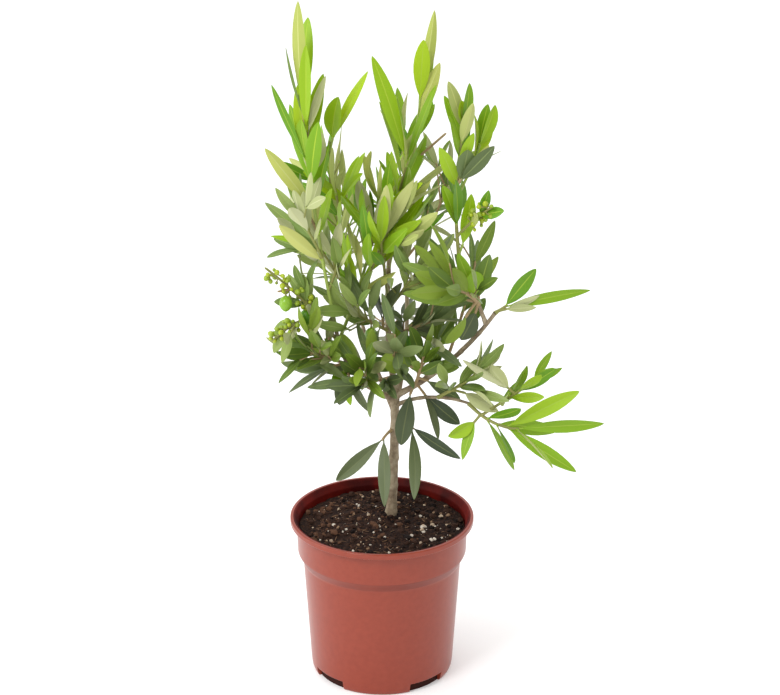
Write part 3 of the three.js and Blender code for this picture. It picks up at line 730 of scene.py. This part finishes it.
# The least and most of each of a leaf's looks, in the order of their draws. spin is in degrees and
# shade counts its three shades of colour.
LEAF_LOOKS = dict(
    bend=(-0.08, 0.08), spin=(-34, 34), belly=(0.92, 1.18), fold=(0.15, 0.55), curl=(0.05, 0.25),
    wave=(0.0, 0.05), phase=(0, 6.3), shade=(0, 2.999),
)


def dress(leaf, grown):
    """The bends, folds and colour of one leaf."""
    looks, shoot = grown["looks"], grown["shoot"]
    for key, ends in LEAF_LOOKS.items():
        leaf[key] = looks(*ends)
    leaf["spin"] = math.radians(leaf["spin"]) / (1 + shoot["face"])
    leaf["shade"] = int(leaf["shade"])
    leaf["tone"] = shoot["tone"]
    if looks(0, 1) < shoot["flip"]:
        leaf["above"] = -leaf["above"]
        leaf["droop"] = -leaf["droop"]
    return leaf


def fine_shoots(grown, plan):
    """Finer side twigs that leave a shoot beside some of its leaves."""
    looks, shoot = grown["looks"], grown["shoot"]
    made = []
    for leaf in plan:
        if looks(0, 1) > shoot["fine"]:
            continue
        angle = math.radians(looks(35, 55))
        along = station_at(grown["stations"], min(leaf["t"], TIP))[1]
        course = unit(along * math.cos(angle) + leaf["out"] * math.sin(angle) + UP * 0.15)
        row = {
            **HABIT, "length": shoot["leaf"] * looks(0.35, 0.6), "pairs": 1 + int(looks(0, 1.5)),
            "heading": math.degrees(math.atan2(course[1], course[0])),
            "rise": math.degrees(math.asin(course[2])),
            "lift": looks(0, 16), "bare": 0.35, "leaf": max(26, min(40, shoot["leaf"] * looks(0.75, 0.95))),
            "low": 0.8, "roll": looks(0, 90), "open": 38, "close": 18, "tone": shoot["tone"],
            "flip": shoot["flip"], "width": 0.86,
        }
        stations = arc(leaf["place"], row, rings_for(row["length"], TWIG_RING_STEP))
        made.append(dict(shoot=row, stations=stations, foot=TWIG_FINE_FOOT, end=TWIG_FINE_TIP,
                         draw=looks, looks=looks))
    return made


def grow_plant():
    limbs = grow_limbs()
    room = Room()
    for limb in limbs.values():
        room.add_rod(limb["stations"], limb_radii(limb), -1)
    crown = []
    for number, mass in enumerate(MASSES, 1):
        for grown in grow_shoots(mass, limbs, number):
            grown.update(mass=mass, number=len(crown))
            crown.append(grown)
    first = {}
    for grown in crown:
        first.setdefault(grown["mass"]["name"], station_at(grown["stations"], 0.5)[0])
        room.add_rod(grown["stations"], shoot_radii(grown), grown["number"])
    leaves, fruit, fine = [], [], []
    for grown in sorted(crown, key=lambda one: not one["finer"]):
        middle, reach = first[grown["mass"]["name"]], grown["mass"]["reach"]
        plan = leaf_plan(grown)
        fruit.extend(fruit_plan(grown))
        for leaf in plan:
            if room.settle(dress(leaf, grown), grown["number"], middle, reach, grown["looks"]):
                leaves.append(leaf)
        for side in fine_shoots(grown, plan):
            end = side["stations"][0]
            gaps = np.linalg.norm(end[-1] - room.rods[:, :3], axis=1) - room.rods[:, 3]
            if np.linalg.norm(end[-1] - middle) < reach and gaps.min() > TWIG_CLEAR:
                side.update(mass=grown["mass"], number=len(crown) + len(fine))
                fine.append(side)
    for side in fine:
        room.add_rod(side["stations"], shoot_radii(side), side["number"])
    for side in fine:
        middle, reach = first[side["mass"]["name"]], side["mass"]["reach"]
        kept = [leaf for leaf in leaf_plan(side)
                if room.settle(dress(leaf, side), side["number"], middle, reach, side["looks"])]
        side["bears"] = len(kept)
        leaves.extend(kept)
    shoots = crown + [side for side in fine if side["bears"]]
    return limbs, shoots, leaves, fruit


# ---- limbs and twigs ----
COLLAR_GAIN = 0.35  # how much a limb swells where it leaves the one below
COLLAR_REACH = 3.5
NODE_STEP = 21  # distance between the old leaf nodes on a limb
NODE_SWELL = 0.14
SWELL_REACH = 1.6
BARK_FISSURES = ((0.30, 2.6, 0.10), (0.12, 6, 0.35))  # height, and fineness round the limb and along it
LUMP_HEIGHT = 0.32
LUMP_FINE = 0.16


def limb_radii(limb):
    row = limb["row"]
    count = len(limb["stations"][0])
    t = np.arange(count) / (count - 1)
    s = t * row["length"]
    radii = lerp(row["foot"], row["tip"], t)
    gain, reach = (COLLAR_GAIN, COLLAR_REACH) if row["on"] else (FLARE_GAIN, FLARE_REACH)
    node = np.exp(-((((s + 8) % NODE_STEP) - NODE_STEP / 2) / SWELL_REACH) ** 2)
    return radii * (1 + gain * np.exp(-s / reach) + NODE_SWELL * node)


def bark_relief(limb):
    """Shallow fissures along the limb and lumps across it."""
    scale = limb["row"]["foot"] / LIMBS[0]["foot"]

    def relief(ring, angle, place):
        along = ring * LIMB_RING_STEP
        fissures = sum(height * noise.noise(Vector((*polar(fine, angle), along * fine_along)))
                       for height, fine, fine_along in BARK_FISSURES)
        return scale * (fissures + LUMP_HEIGHT * noise.noise(Vector(place * LUMP_FINE)))

    return relief


def shoot_radii(grown):
    count = len(grown["stations"][0])
    t = np.arange(count) / (count - 1)
    radii = lerp(grown["foot"], grown["end"], t)
    return radii * (1 + COLLAR_GAIN * np.exp(-t * grown["shoot"]["length"] / 2.0))


BUD_LENGTH = 2.4
BUD = ((0.35, 0.95), (0.7, 0.7), (0.95, 0.25))  # shares of its length, and of the twig's radius there
TWIG_SWELL = 0.22
TWIG_SIDES = 8


def add_twig(sheaf, grown, slot):
    """A twig that swells where its leaves stand and ends in a bud."""
    shoot, (places, *turns) = grown["shoot"], grown["stations"]
    radii = shoot_radii(grown)
    t = np.arange(len(radii)) / (len(radii) - 1)
    for k in range(shoot["pairs"]):
        node = min(lerp(shoot["bare"], shoot["till"], (k + TIP) / shoot["pairs"]), TIP)
        off = (t - node) * shoot["length"] / SWELL_REACH
        radii = radii * (1 + TWIG_SWELL * np.exp(-off ** 2))
    bud = [places[-1] + turns[0][-1] * BUD_LENGTH * share for share, _ in BUD]
    places = np.vstack([places, bud])
    turns = [np.vstack([column, np.repeat(column[-1:], len(BUD), axis=0)]) for column in turns]
    radii = np.concatenate([radii, [radii[-1] * share for _, share in BUD]])
    points, faces = tube([places, *turns], radii, TWIG_SIDES)
    sheaf.add(points, faces, [slot] * len(faces))


# ---- fruit ----
BERRY = dict(long=1.08, rings=8, sides=12, slot=0, stalk=STALK_RADIUS)
OLIVE = dict(long=1.18, rings=12, sides=18, slot=2, stalk=STALK_RADIUS * 1.5)
STALK_SHAPE = (1.3, 1, 1, 1.7)
FRUIT_POINT = 0.12  # how far a fruit's tip is drawn out, as a share of its radius


def globe(centre, axis, radius, long, rings, sides, point):
    """A round fruit as a closed mesh, drawn out along its axis."""
    side = unit(np.cross(axis, UP + np.array([0.3, 0.1, 0])))
    over = np.cross(axis, side)
    points = []
    for i in range(1, rings):
        a = math.pi * i / rings
        height = -math.cos(a) * radius * long + point * radius * (i / rings) ** 6
        for j in range(sides):
            out = round_about(side, over, 2 * math.pi * j / sides) * math.sin(a)
            points.append(centre + axis * height + out * radius)
    points.append(centre - axis * radius * long)
    points.append(centre + axis * radius * (long + point))
    return points, tube_faces(rings - 1, sides)


def straight(place, along, length, steps=3):
    across = unit(np.cross(along, direction(17, 3)))
    over = np.cross(across, along)
    return [np.array([place + along * length * i / steps for i in range(steps + 1)]),
            np.repeat([along], steps + 1, axis=0), np.repeat([across], steps + 1, axis=0),
            np.repeat([over], steps + 1, axis=0)]


def add_fruit(fruits, stalks, item, number):
    """A fruit, whose shade goes by its number, on its stalk."""
    radius, along = item["radius"], item["along"]
    centre = item["place"] + along * item["size"]
    shape = OLIVE if radius > BERRY_RADIUS else BERRY
    points, faces = globe(centre, along, radius, shape["long"], shape["rings"], shape["sides"], FRUIT_POINT)
    fruits.add(points, faces, [shape["slot"] + number % 2] * len(faces))
    stalk = straight(item["place"], along, item["size"] - radius * shape["long"] * 0.9)
    points, faces = tube(stalk, np.array(STALK_SHAPE) * shape["stalk"], 6)
    stalks.add(points, faces, [1] * len(faces))


# ---- materials ----
STUDIO_GAIN = 1.32  # how much brighter than its own colour a thing looks in this light


def linear(red, green, blue):
    """The base colour of a thing that is to look like this sRGB colour, 0 to 255, in the studio's light."""
    channel = lambda c: c / 12.92 if c <= 0.04045 else ((c + 0.055) / 1.055) ** 2.4
    return tuple(channel(v / 255) / STUDIO_GAIN for v in (red, green, blue)) + (1,)


def material(name, colour, roughness, **more):
    made = bpy.data.materials.new(name)
    made.use_nodes = True
    shader = made.node_tree.nodes["Principled BSDF"]
    shader.inputs["Base Color"].default_value = colour
    shader.inputs["Roughness"].default_value = roughness
    for key, value in more.items():
        shader.inputs[key.replace("_", " ")].default_value = value
    return made


def paints(*rows, **more):
    """Materials from rows of a name, the sRGB colour that each is to look like and its roughness."""
    return [material(name, linear(*colour), rough, **more) for name, *colour, rough in rows]


def noise_node(tree, scale, detail, rough=0.5):
    place = tree.nodes.new("ShaderNodeTexCoord")
    texture = tree.nodes.new("ShaderNodeTexNoise")
    for key, value in (("Scale", scale), ("Detail", detail), ("Roughness", rough)):
        texture.inputs[key].default_value = value
    tree.links.new(place.outputs["Object"], texture.inputs["Vector"])
    return texture.outputs["Fac"]


def clouded(name, colour, roughness, clouds, stops, grain=None, **more):
    """A material whose colour drifts by a noise between stops, each a share and an sRGB colour; grain is
    the noise, strength and depth of its bumps."""
    made = material(name, linear(*colour), roughness, **more)
    tree = made.node_tree
    shader = tree.nodes["Principled BSDF"]
    source = noise_node(tree, *clouds)
    ramp = tree.nodes.new("ShaderNodeValToRGB")
    elements = ramp.color_ramp.elements
    for end, (share, *shade) in zip(elements, (stops[0], stops[-1])):
        end.position, end.color = share, linear(*shade)
    for share, *shade in stops[1:-1]:
        elements.new(share).color = linear(*shade)
    tree.links.new(source, ramp.inputs["Fac"])
    tree.links.new(ramp.outputs["Color"], shader.inputs["Base Color"])
    if grain:
        noise_row, strength, depth = grain
        source = noise_node(tree, *noise_row)
        bumps = tree.nodes.new("ShaderNodeBump")
        bumps.inputs["Strength"].default_value = strength
        bumps.inputs["Distance"].default_value = depth
        tree.links.new(source, bumps.inputs["Height"])
        tree.links.new(bumps.outputs["Normal"], shader.inputs["Normal"])
    return made


def bark_material():
    return clouded("bark", (165, 145, 130), 0.85, (160, 6, 0.65), [
        (0.30, 116, 98, 76), (0.45, 152, 134, 108), (0.58, 176, 160, 132), (0.75, 200, 186, 160),
    ], ((900, 4, 0.6), 0.6, 0.0004))


def pot_materials():
    """The smooth wall; then the inside, the slope under the collar and the underside, each darker as painted
    shade.
    """
    return [
        clouded("pot_plastic", (154, 57, 31), 0.28, (240, 2), [(0.2, 150, 54, 29), (0.8, 161, 62, 36)]),
        # painted shade: the inside wall is a darker red, for the shade inside the pot
        clouded("pot_inside_painted_shade", (96, 18, 12), 0.55, (45, 5), [(0.35, 66, 9, 7), (0.7, 124, 24, 14)],
                Specular_IOR_Level=0.1),
        # painted shade: the slope under the collar is darker, for the shade that falls beneath the collar
        clouded("pot_step_painted_shade", (138, 52, 33), 0.4, (40, 4), [(0.3, 132, 48, 30), (0.7, 148, 58, 37)],
                Specular_IOR_Level=0.4),
        # painted shade: the underside and the backs of the drain notches are near black, for the shade under
        # the pot
        material("pot_underside_painted_shade", linear(58, 26, 20), 0.7, Specular_IOR_Level=0.1),
    ]


def soil_material():
    return clouded("soil", (50, 31, 23), 0.95, (420, 8, 0.7), [
        (0.32, 16, 9, 8), (0.48, 42, 25, 19), (0.62, 72, 47, 34), (0.8, 108, 78, 58),
    ], ((1100, 6, 0.7), 0.9, 0.0012), Specular_IOR_Level=0.2)


# the upper faces in three shades, the undersides in three, the midrib above and the rib below. The
# shades are the leaves' colours by age brightened as painted light, for light that passes through the
# leaves, most of all in the young tone at the lit top of the crown.
TONES = {
    "young": ((152, 192, 14), (172, 206, 22), (126, 174, 14), (196, 204, 104), (180, 192, 92),
              (208, 212, 122), (176, 206, 52), (206, 212, 128)),
    "fresh": ((138, 180, 28), (160, 196, 36), (110, 162, 28), (192, 202, 116), (176, 188, 106),
              (204, 210, 132), (164, 196, 60), (202, 208, 126)),
    "mid": ((120, 148, 48), (138, 164, 54), (102, 130, 48), (172, 180, 118), (156, 166, 108), (184, 192, 130),
            (144, 166, 68), (182, 190, 126)),
    "silver": ((136, 160, 78), (120, 146, 70), (150, 170, 88), (198, 204, 146), (184, 192, 132),
               (212, 216, 166), (158, 178, 96), (208, 212, 158)),
    "blue": ((112, 132, 78), (130, 148, 88), (98, 115, 70), (160, 168, 120), (148, 156, 110), (172, 178, 130),
             (136, 152, 92), (172, 178, 128)),
    "old": ((84, 97, 64), (98, 110, 70), (72, 86, 60), (132, 140, 102), (120, 128, 94), (144, 150, 114),
            (110, 120, 78), (148, 154, 114)),
}
KIND_SLOTS = {"rib": 6, "ribbelow": 7}


def leaf_materials(tone):
    names = ("upper_a", "upper_b", "upper_c", "under_a", "under_b", "under_c", "rib", "rib_below")
    roughness = (0.42, 0.44, 0.4, 0.6, 0.6, 0.6, 0.5, 0.6)
    return [material(f"leaf_{tone}_{name}", linear(*colour), rough, Specular_IOR_Level=0.28)
            for name, colour, rough in zip(names, TONES[tone], roughness)]


# ---- the plant ----
limbs, shoots, leaves, fruit = grow_plant()
mass_names = [mass["name"] for mass in MASSES]
bark = bark_material()
LIMB_RING = 20
TRUNK_SUNK = 4


def sunk(stations, radii, depth):
    """A limb's stations with one more below its foot, so that it stands well in the soil."""
    more = [stations[0][0] - stations[1][0] * depth] + [column[0] for column in stations[1:]]
    return [np.vstack([first, column]) for first, column in zip(more, stations)], np.append(radii[0], radii)


for name, limb in limbs.items():
    sheaf = Sheaf()
    stations, radii = limb["stations"], limb_radii(limb)
    if name == "trunk":
        stations, radii = sunk(stations, radii, TRUNK_SUNK)
    points, faces = tube(stations, radii, LIMB_RING, bark_relief(limb))
    sheaf.add(points, faces, [0] * len(faces))
    sheaf.piece(f"bark_{name}", [bark], "bark", [name], sharp=80)

twig_materials = paints(
    ("twig_tan", 176, 150, 108, 0.7), ("twig_olive", 150, 152, 78, 0.6), ("twig_green", 164, 186, 84, 0.55),
)
TWIG_TONES = {"young": 2, "fresh": 1, "silver": 1, "mid": 0, "blue": 0, "old": 0}
twigs = Sheaf()
for grown in shoots:
    add_twig(twigs, grown, TWIG_TONES[grown["shoot"]["tone"]])
twigs.piece("twigs", twig_materials, "bark", mass_names, sharp=70)

for tone in TONES:
    sheaf = Sheaf()
    for leaf in leaves:
        if leaf["tone"] != tone:
            continue
        shade = leaf["shade"]
        kinds = {"upper": shade, "under": 3 + shade, **KIND_SLOTS}
        sheaf.add(blade_points(leaf), BLADE_FACES, [kinds[kind] for kind in BLADE_KINDS])
    if sheaf.count:
        sheaf.piece(f"leaves_{tone}", leaf_materials(tone), "foliage", mass_names, sharp=70)

fruits, stalks = Sheaf(), Sheaf()
for number, item in enumerate(fruit):
    add_fruit(fruits, stalks, item, number)
fruits.piece("fruit", paints(
    ("berry_a", 178, 196, 34, 0.35), ("berry_b", 156, 182, 40, 0.35),
    ("olive_a", 96, 156, 22, 0.28), ("olive_b", 140, 188, 40, 0.28),
), "foliage", mass_names)
stalks.piece("fruit_stalks", twig_materials[:2], "bark", mass_names)

# ---- the pot ----
POT_SEGMENTS = 192


def rounded(corners, steps=4):
    """A row of (r, z, rounding) corners with each inner corner rounded off, and a ring of points close
    beside each rounding so that the long faces between them stay flat."""
    line = [corners[0][:2]]
    for before, corner, after in zip(corners, corners[1:-1], corners[2:]):
        cut = corner[2]
        if cut == 0:
            line.append(corner[:2])
            continue
        before, corner, after = (np.array(c[:2], float) for c in (before, corner, after))
        to_before, to_after = unit(before - corner), unit(after - corner)
        line.append(tuple(corner + to_before * (cut + 0.25)))
        for i in range(steps + 1):
            t = i / steps
            a, b = corner + to_before * cut, corner + to_after * cut
            line.append(tuple((1 - t) ** 2 * a + 2 * t * (1 - t) * corner + t * t * b))
        line.append(tuple(corner + to_after * (cut + 0.25)))
    line.append(corners[-1][:2])
    return line


def pot_profile():
    """The pot's outline from the middle of its underside over the lip to the middle of its floor, and
    the number of its points that are the smooth outer face."""
    rim_z = POT_HEIGHT - RIM_HEIGHT
    foot_out = BASE_RADIUS - BASE_CORNER_IN
    foot = [
        (0, 0, 0), (PAD_RADIUS, 0, 0.5), (PAD_RADIUS + PAD_SLOPE, FOOT_RISE, 0.5),
        (foot_out - FOOT_WIDTH - 1, FOOT_RISE, 0.5), (foot_out - FOOT_WIDTH, 0, 0.3),
        (NOTCH_BACK_RADIUS, 0, 0), (NOTCH_BACK_RADIUS + 0.05, 0, 0),
    ]
    outside = [
        (foot_out, 0, 0.6), (BASE_RADIUS - BASE_ROUND_IN, BASE_ROUND_Z, 1.2),
        (BASE_RADIUS, BASE_CORNER_Z, 1.8), (WALL_TOP_RADIUS, WALL_TOP_Z, 1.4),
        (COLLAR_FOOT_RADIUS, COLLAR_FOOT_Z, 0.9),
        (COLLAR_RADIUS, rim_z, 0.5), (RIM_RADIUS, rim_z, 0.7), (RIM_RADIUS, POT_HEIGHT, 0.8),
        (RIM_RADIUS - RIM_WIDTH, POT_HEIGHT, 0.7),
    ]
    inside = [
        (COLLAR_RADIUS - POT_WALL + 0.3, rim_z - 0.5, 0.6),
        (COLLAR_FOOT_RADIUS - POT_WALL, COLLAR_FOOT_Z, 0.5), (WALL_TOP_RADIUS - POT_WALL, WALL_TOP_Z, 0.5),
        (BASE_RADIUS - POT_WALL, POT_WALL + FOOT_RISE, 0.5),
        (PAD_RADIUS + PAD_SLOPE - POT_WALL, POT_WALL + FOOT_RISE, 0.5),
        (PAD_RADIUS - POT_WALL, POT_WALL, 0.5), (0, POT_WALL, 0),
    ]
    return rounded(foot), rounded(foot + outside), rounded(foot + outside + inside)


def around_pot():
    """Even angles about the pot, with a close pair at each end of each drain notch, and whether each
    angle is in a notch."""
    angles = {360 * j / POT_SEGMENTS: False for j in range(POT_SEGMENTS)}
    for k in range(NOTCHES):
        middle = NOTCH_TURN - 90 + 360 / NOTCHES * k
        low, high = middle - NOTCH_ARC / 2, middle + NOTCH_ARC / 2
        for angle in angles:
            angles[angle] = angles[angle] or abs((angle - middle + 180) % 360 - 180) < NOTCH_ARC / 2
        for edge, inward in ((low, NOTCH_EDGE), (high, -NOTCH_EDGE)):
            angles[(edge - inward) % 360] = False
            angles[(edge + inward) % 360] = True
    return sorted(angles.items())


def pot_piece():
    foot, outer, profile = pot_profile()
    rings = profile[1:-1]  # the first and the last point are on the pot's middle line
    first_out, first_in = len(foot) - 2, len(outer) - 2
    columns = around_pot()
    points, slots = [], []
    for k, (r, z) in enumerate(rings):
        for degrees, is_notch in columns:
            is_raised = is_notch and k < first_in and r > NOTCH_BACK_RADIUS
            height = max(z, NOTCH_HEIGHT) if is_raised else z
            points.append((*polar(r, math.radians(degrees)), height))
        is_outer = first_out <= k < first_in
        is_painted_shade_step = is_outer and WALL_TOP_Z + 0.6 < z < COLLAR_FOOT_Z - 0.2
        # painted shade: the underside (slot 3), the slope under the collar (slot 2) and the inside (slot 1)
        # take darker materials where shade falls
        slots.append(3 if k < first_out else 2 if is_painted_shade_step else 0 if is_outer else 1)
    points.extend([(0, 0, profile[0][1]), (0, 0, profile[-1][1])])
    slots = np.repeat(slots[:-1] + [1, 1], len(columns))
    sheaf = Sheaf()
    sheaf.add(points, tube_faces(len(rings), len(columns)), slots)
    return sheaf.piece("pot_shell", pot_materials(), "pot_plastic", ["pot"], sharp=50)


def drill_drains(pot):
    radius = (PAD_RADIUS + PAD_SLOPE + BASE_RADIUS - BASE_CORNER_IN - FOOT_WIDTH) / 2
    drills = []
    for k in range(DRAIN_HOLES):
        place = (*polar(radius * MM, 2 * math.pi * k / DRAIN_HOLES), FOOT_RISE * MM)
        bpy.ops.mesh.primitive_cylinder_add(
            vertices=DRAIN_SIDES, radius=DRAIN_RADIUS * MM, depth=DRAIN_DEPTH * MM, location=place)
        drills.append(bpy.context.object)
        cut = pot.modifiers.new("drain", "BOOLEAN")
        cut.operation = "DIFFERENCE"
        cut.solver = "EXACT"
        cut.object = drills[-1]
    depsgraph = bpy.context.evaluated_depsgraph_get()
    mesh = bpy.data.meshes.new_from_object(pot.evaluated_get(depsgraph))
    pot.modifiers.clear()
    old, pot.data = pot.data, mesh
    bpy.data.meshes.remove(old)
    for drill in drills:
        bpy.data.objects.remove(drill)


pot = pot_piece()
drill_drains(pot)

# ---- the soil ----
SOIL_RINGS = 56
SOIL_SIDES = 168
SOIL_GAP = 0.5
SOIL_NOISE = ((1.0, 0.09, 4.0), (0.9, 0.28, 1.5), (0.45, 0.8, 7.5))  # height, fineness and seed of each
TRUNK_HEAP = 1.4  # how far the soil is heaped up at the trunk
HOLLOW_DEPTH = 1.6
SOIL_RADIUS = COLLAR_RADIUS - POT_WALL - SOIL_GAP


def soil_height(x, y):
    """The height of the soil's surface: a low mound with clods, and a hollow beside the trunk."""
    r = math.hypot(x, y)
    mound = SOIL_MOUND * min(1, max(0, (SOIL_RADIUS - r) / (SOIL_RADIUS - SOIL_PATCH)))
    rough = sum(height * noise.noise(Vector((x * fine, y * fine, seed))) for height, fine, seed in SOIL_NOISE)
    hollow = HOLLOW_DEPTH * math.exp(-((x - TRUNK_X - 1) ** 2 + (y - TRUNK_Y + 14) ** 2) / 60)
    at_trunk = math.exp(-((x - TRUNK_X) ** 2 + (y - TRUNK_Y) ** 2) / 40)
    return SOIL_EDGE_Z + mound + rough * (1 - 0.6 * at_trunk) + TRUNK_HEAP * at_trunk - hollow


def soil_piece():
    foot_z = POT_WALL + FOOT_RISE + SOIL_GAP
    rings = [(SOIL_RADIUS * i / SOIL_RINGS, None) for i in range(1, SOIL_RINGS + 1)]
    below = ((COLLAR_FOOT_RADIUS, COLLAR_FOOT_Z), (WALL_TOP_RADIUS, WALL_TOP_Z), (BASE_RADIUS, foot_z))
    for radius, z in below:
        rings.append((radius - POT_WALL - SOIL_GAP, z))
    points = []
    for r, z in rings:
        for j in range(SOIL_SIDES):
            x, y = polar(r, 2 * math.pi * j / SOIL_SIDES)
            points.append((x, y, soil_height(x, y) if z is None else z))
    points.extend([(0, 0, soil_height(0, 0)), (0, 0, foot_z)])
    faces = [face[::-1] for face in tube_faces(len(rings), SOIL_SIDES)]
    sheaf = Sheaf()
    sheaf.add(points, faces, [0] * len(faces))
    return sheaf.piece("soil_bed", [soil_material()], "soil", ["soil"], sharp=60)


def finer_ball():
    """The points and faces of an icosahedron in a unit ball, each face split in four."""
    ratio = (1 + math.sqrt(5)) / 2
    points = [np.roll((a, b * ratio, 0), k) / math.hypot(1, ratio)
              for k in range(3) for a in (-1, 1) for b in (-1, 1)]
    edge = 2.02 / math.hypot(1, ratio)  # just over the distance of neighbours
    joined = {(a, b) for a, b in combinations(range(12), 2) if np.linalg.norm(points[a] - points[b]) < edge}
    faces, middles = [], {}

    def middle(a, b):
        key = (min(a, b), max(a, b))
        if key not in middles:
            middles[key] = len(points)
            points.append(unit(points[a] + points[b]))
        return middles[key]

    for a, b, c in combinations(range(12), 3):
        if {(a, b), (b, c), (a, c)} <= joined:
            if np.cross(points[a], points[b]) @ points[c] < 0:
                b, c = c, b
            ab, bc, ca = middle(a, b), middle(b, c), middle(c, a)
            faces.extend([(a, ab, ca), (b, bc, ab), (c, ca, bc), (ab, bc, ca)])
    return np.array(points), faces


BALL_POINTS, BALL_FACES = finer_ball()


def add_crumb(sheaf, draw, x, y, size, slot, flat):
    """An irregular crumb that lies half sunk in the soil."""
    seed = Vector((draw(-50, 50), draw(-50, 50), draw(-50, 50)))
    rough = np.array([1 + 0.55 * noise.noise(Vector(p) * 1.6 + seed) for p in BALL_POINTS])
    shape = BALL_POINTS * rough[:, None] * np.array([draw(0.7, 1.2), draw(0.6, 1.0), flat * draw(0.7, 1.1)])
    turn = draw(0, 2 * math.pi)
    c, s = math.cos(turn), math.sin(turn)
    turned = shape @ np.array([[c, s, 0], [-s, c, 0], [0, 0, 1]])
    centre = np.array([x, y, soil_height(x, y) + size * draw(0.0, 0.35)])
    sheaf.add(turned * size + centre, BALL_FACES, [slot] * len(BALL_FACES))


def scatter(draw, limit):
    """An even random place on the soil, clear of the trunk."""
    while True:
        x, y = polar(limit * math.sqrt(draw(0, 1)), draw(0, 2 * math.pi))
        if math.hypot(x - TRUNK_X, y - TRUNK_Y) > 7:
            return x, y


CLODS = 900
HEAPED = 70  # crumbs against the foot of the trunk
GRAINS = 240
FIBRES = 130


def small(draw, least, most):
    """A random size, of which the small ones are the most common."""
    return least + (most - least) * draw(0, 1) ** 3


def crumbs():
    draw = chance(SOIL_SEED)
    clods, grains, fibres = Sheaf(), Sheaf(), Sheaf()
    for _ in range(CLODS):
        x, y = scatter(draw, SOIL_RADIUS - 2.5)
        painted_light_share = min(max(0.5 - x / 80, 0), 1)  # painted shade: lighter clods on the left, darker towards the right where the crown's shadow falls
        add_crumb(clods, draw, x, y, small(draw, 0.5, 2.6), int(draw(0, 2) + 0.95 * painted_light_share), 0.8)
    for _ in range(HEAPED):
        turn, off = math.radians(draw(0, 360)), draw(3.6, 7.5)
        x, y = TRUNK_X + off * math.cos(turn), TRUNK_Y + off * math.sin(turn)
        add_crumb(clods, draw, x, y, small(draw, 0.7, 2.0), int(draw(0, 2.3)), 0.9)
    for _ in range(GRAINS):
        x, y = scatter(draw, SOIL_RADIUS - 2)
        add_crumb(grains, draw, x, y, small(draw, 0.3, 1.7), int(draw(0, 2.99)), 0.85)
    for number in range(FIBRES):
        x, y = scatter(draw, SOIL_RADIUS - 8)
        along = direction(draw(0, 360), draw(-4, 10))
        place = np.array([x, y, soil_height(x, y) + 0.3])
        width = draw(0.12, 0.3)
        points, faces = tube(straight(place, along, draw(2.5, 7)), np.array([0.6, 1, 1, 0.5]) * width, 5)
        fibres.add(points, faces, [number % 2] * len(faces))
    clods.piece("soil_clods", paints(
        ("clod_dark", 28, 18, 15, 0.95), ("clod_brown", 62, 41, 31, 0.95), ("clod_bark", 96, 66, 48, 0.9),
        Specular_IOR_Level=0.2,
    ), "soil", ["soil"], sharp=40)
    grains.piece("soil_grains", paints(
        ("grain_white", 226, 214, 198, 0.8), ("grain_cream", 196, 172, 146, 0.85),
        ("grain_tan", 150, 118, 90, 0.85),
    ), "soil", ["soil"], sharp=40)
    fibres.piece("soil_fibres", paints(
        ("fibre_tan", 140, 106, 76, 0.9), ("fibre_brown", 88, 58, 42, 0.9),
    ), "soil", ["soil"], sharp=60)


soil_piece()
crumbs()

# ---- the stage ----
FLOOR = 30.0  # metres from the middle to an edge
FLOOR_Z = -0.0002
floor_mesh = bpy.data.meshes.new("floor")
floor_mesh.from_pydata([(x * FLOOR, y * FLOOR, 0) for x, y in ((-1, -1), (1, -1), (1, 1), (-1, 1))],
                       [], [(0, 1, 2, 3)])
floor = bpy.data.objects.new("floor", floor_mesh)
floor.location.z = FLOOR_Z
bpy.context.scene.collection.objects.link(floor)
floor_mesh.materials.append(material(
    "floor_white", (0.85, 0.85, 0.85, 1), 0.9, Specular_IOR_Level=0.0,
    Emission_Color=(1, 1, 1, 1), Emission_Strength=0.2,
))

world = bpy.data.worlds.new("studio")
bpy.context.scene.world = world
world.use_nodes = True
backdrop = world.node_tree.nodes["Background"]
backdrop.inputs["Color"].default_value = (1, 1, 1, 1)
backdrop.inputs["Strength"].default_value = 0.95


def lamp(name, place, target, size, power):
    light = bpy.data.lights.new(name, "AREA")
    light.size = size
    light.energy = power
    obj = bpy.data.objects.new(name, light)
    obj.location = place
    obj.rotation_euler = (Vector(target) - Vector(place)).to_track_quat("-Z", "Y").to_euler()
    bpy.context.scene.collection.objects.link(obj)


MIDDLE = (0.0, 0.0, 0.25)
lamp("key", (-1.0, -1.2, 1.8), MIDDLE, 0.7, 20)
lamp("left", (-1.6, -0.3, 0.5), MIDDLE, 0.9, 7)
lamp("top", (-0.2, 0.5, 1.9), MIDDLE, 0.9, 8)

# ---- the camera, at the viewing angle measured from the pot's rim and foot ----
camera_data = bpy.data.cameras.new("camera")
camera_data.sensor_width = 36.0
camera_data.lens = EYE_LENS
camera = bpy.data.objects.new("camera", camera_data)
camera.location = (EYE_X * MM, -EYE_DISTANCE * MM, EYE_HEIGHT * MM)
camera.rotation_euler = (math.radians(90 - EYE_DOWN), 0, 0)
bpy.context.scene.collection.objects.link(camera)
bpy.context.scene.camera = camera
bpy.context.scene.view_settings.view_transform = "Standard"
